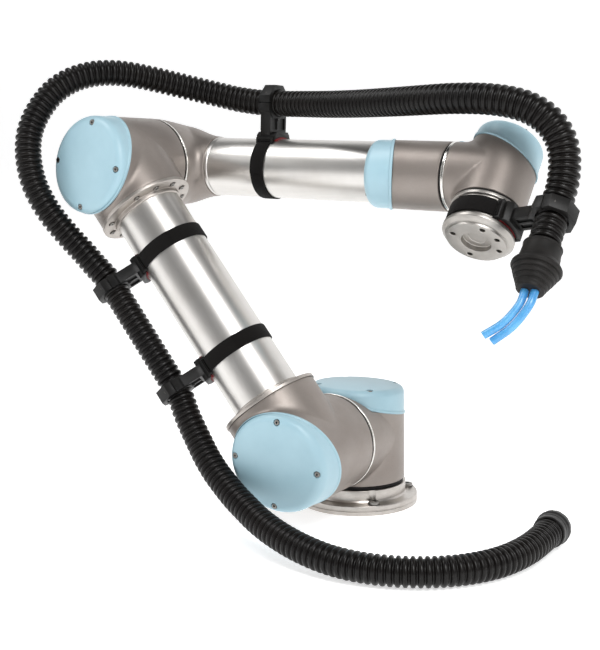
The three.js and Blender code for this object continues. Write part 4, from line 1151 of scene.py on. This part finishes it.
# boot over the tool end
pB = HL.at(np.array([sEnd - 14.0]))[0]
tB = HL.at(np.array([sEnd - 3.0]))[0] - HL.at(np.array([sEnd - 5.0]))[0]
mB = basis(Vector(pB), Vector(tB), XP)
prof = [(16.45, 6), (18.6, 6, 0.6), (19.5, 6.8, 0.4), (19.5, 8.2, 0.3), (18.9, 8.8), (19.2, 14), (20.2, 23.6), (21.4, 25.6), (24.8, 30.4, 0.7), (25.1, 32.6, 0.6), (23.8, 34.8), (22.0, 35.2), (21.6, 36.0), (22.5, 37.0, 0.6), (21.8, 39.4, 0.6), (20.0, 39.9), (19.6, 40.8), (20.5, 41.8, 0.6), (19.5, 44.2, 0.6), (17.7, 44.7), (17.3, 45.6), (18.1, 46.6, 0.6), (17.0, 49.0, 0.6), (15.5, 49.5), (15.1, 50.4), (15.7, 51.4, 0.6), (15.0, 53.4, 0.5), (14.0, 54.0), (13.8, 57.0, 1.2), (0, 57), (0, 50), (10.5, 46), (16.45, 34)]
bt = rev(arc_profile(prof), 80)
bt = boolean(bt, join(*[move(rev([(0, 40), (4.35, 40), (4.35, 70), (0, 70)], 28), Matrix.Translation((x, 0, 0))) for x in (-4.9, 4.9)]))
boot = piece("hose_boot_moulded", bt, "wrist_3", BOOT, mB, ("hose_boot",), angle=30)

# air lines
TIPS = [vec(266.9, -251.2, 258.8), vec(274.2, -247.9, 253)]
for i, x in enumerate((-4.9, 4.9)):
    q = lambda a, b, c: mB @ Vector((a, b, c))
    a, b, c, e = q(x, 0, 48), q(x, 0, 60), q(x - 1, 0, 72), TIPS[i]
    mid = c.lerp(e, 0.5) + vec(3, -1, -2)
    L = Line(catmull([a, b, c, mid, e], 60))
    ss = np.linspace(0, L.L, 60)
    pts, ns, bs = frames_along(L, ss)
    SEG = 28
    ang = np.arange(SEG) / SEG * 2 * math.pi
    ring_ = lambda k, r: pts[k] + r * (ns[k] * np.cos(ang)[:, None] + bs[k] * np.sin(ang)[:, None])
    rows = [ring_(k, 4.0) for k in range(len(ss) - 1)]
    rows += [L.at(np.array([L.L - 0.25]))[0] * 0 + ring_(len(ss) - 1, 3.75), ring_(len(ss) - 1, 2.75)]
    rows += [ring_(k, 2.6) for k in range(len(ss) - 2, len(ss) - 30, -1)]
    verts = np.concatenate(rows) * 0.001
    faces = []
    for r_ in range(len(rows) - 1):
        for j in range(SEG):
            k = (j + 1) % SEG
            faces.append((r_ * SEG + j, r_ * SEG + k, (r_ + 1) * SEG + k, (r_ + 1) * SEG + j))
    faces.append(tuple((len(rows) - 1) * SEG + j for j in range(SEG)))
    faces.append(tuple(range(SEG))[::-1])
    nm = "air_line_%d_tube" % (i + 1)
    me = bpy.data.meshes.new(nm)
    me.from_pydata([tuple(v) for v in verts], [], faces)
    bm = bmesh.new()
    bm.from_mesh(me)
    bmesh.ops.recalc_face_normals(bm, faces=bm.faces)
    bm.to_mesh(me)
    bm.free()
    me.materials.append(AIR)
    me.shade_smooth()
    me.set_sharp_from_angle(angle=math.radians(40))
    o = bpy.data.objects.new(nm, me)
    bpy.context.scene.collection.objects.link(o)
    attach(o, "wrist_3")
    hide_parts("air_line_%d" % (i + 1))

# ------------------------------------------------------------------ CAD nodes that stay: the drives inside
for n, o in frame["nodes"].items():
    if not o.hide_render:
        o.data.materials.clear()
        o.data.materials.append(DRIVE)
        for p in o.data.polygons:
            p.material_index = 0
        print("kept CAD node", n)

# ------------------------------------------------------------------ camera
az, el, roll, dist = math.radians(30.959), math.radians(7.573), math.radians(-0.697), 1.37499
target = Vector((-0.041013, -0.070, 0.229186))
right = Vector((math.cos(az), math.sin(az), 0))
back = Vector((math.sin(az) * math.cos(el), -math.cos(az) * math.cos(el), math.sin(el)))
up = back.cross(right)
cx = right * math.cos(roll) + up * math.sin(roll)
cy = -right * math.sin(roll) + up * math.cos(roll)
pos = target + back * dist
cam = bpy.data.objects.new("camera", bpy.data.cameras.new("camera"))
bpy.context.scene.collection.objects.link(cam)
cam.matrix_world = Matrix(((cx.x, cy.x, back.x, pos.x), (cx.y, cy.y, back.y, pos.y), (cx.z, cy.z, back.z, pos.z), (0, 0, 0, 1)))
cam.data.lens = 62.85
cam.data.sensor_width = 36
cam.data.clip_start, cam.data.clip_end = 0.05, 50
bpy.context.scene.camera = cam

# ------------------------------------------------------------------ floor and light
fm = Mat("studio_floor")
big = fm.noise(0.002, 2.0, 0.5)
fm.color(fm.mix(fm.ramp(big, 0.3, 0.7, 0, 1), (0.90, 0.90, 0.90, 1), (0.93, 0.93, 0.93, 1)))
fm.set(spec=0.1)
fm.b.inputs["Roughness"].default_value = 0.9
fm.b.inputs["Emission Color"].default_value = (1, 1, 1, 1)
fm.b.inputs["Emission Strength"].default_value = 0.6
bm = bmesh.new()
prof_ = [(-14.0, 0.0)]
for i in range(0, 13):
    a = i / 12 * math.pi / 2
    prof_.append((4.5 + 2.5 * math.sin(a), 2.5 - 2.5 * math.cos(a)))
prof_.append((7.0, 12.0))
rows = []
for y, z in prof_:
    rows.append([bm.verts.new((x, y, z - 0.0005)) for x in np.linspace(-14, 14, 9)])
for a_, b_ in zip(rows[:-1], rows[1:]):
    for j in range(8):
        bm.faces.new((a_[j], a_[j + 1], b_[j + 1], b_[j]))
bmesh.ops.recalc_face_normals(bm, faces=bm.faces)
me = bpy.data.meshes.new("studio_floor")
bm.to_mesh(me)
bm.free()
me.materials.append(fm.m)
me.shade_smooth()
floor = bpy.data.objects.new("studio_floor", me)
bpy.context.scene.collection.objects.link(floor)


def area(name, loc, to, sx, sy, power, color=(1, 1, 1)):
    l = bpy.data.lights.new(name, "AREA")
    l.shape, l.size, l.size_y, l.energy, l.color = "RECTANGLE", sx, sy, power, color
    o = bpy.data.objects.new(name, l)
    bpy.context.scene.collection.objects.link(o)
    o.location = loc
    o.rotation_mode = "QUATERNION"
    o.rotation_quaternion = (Vector(to) - Vector(loc)).to_track_quat("-Z", "Y")
    return o


C = Vector((0, -0.1, 0.3))
area("key_top", (-0.95, -0.75, 2.2), C, 0.9, 1.0, 15)
area("key_right", (1.4, -1.35, 2.15), C, 0.8, 1.0, 30)
area("left_box", (-2.4, -2.1, 1.2), C, 0.9, 2.2, 12)
area("right_box", (2.1, -0.5, 1.0), C, 0.4, 1.5, 1.5)
area("front_fill", pos + cx * 0.5 + cy * 0.45, C, 0.8, 0.8, 5)

w = bpy.data.worlds.new("studio")
bpy.context.scene.world = w
w.use_nodes = True
bg = w.node_tree.nodes["Background"]
bg.inputs[0].default_value = (1, 1, 1, 1)
bg.inputs[1].default_value = 0.22
bpy.context.scene.view_settings.view_transform = "Standard"
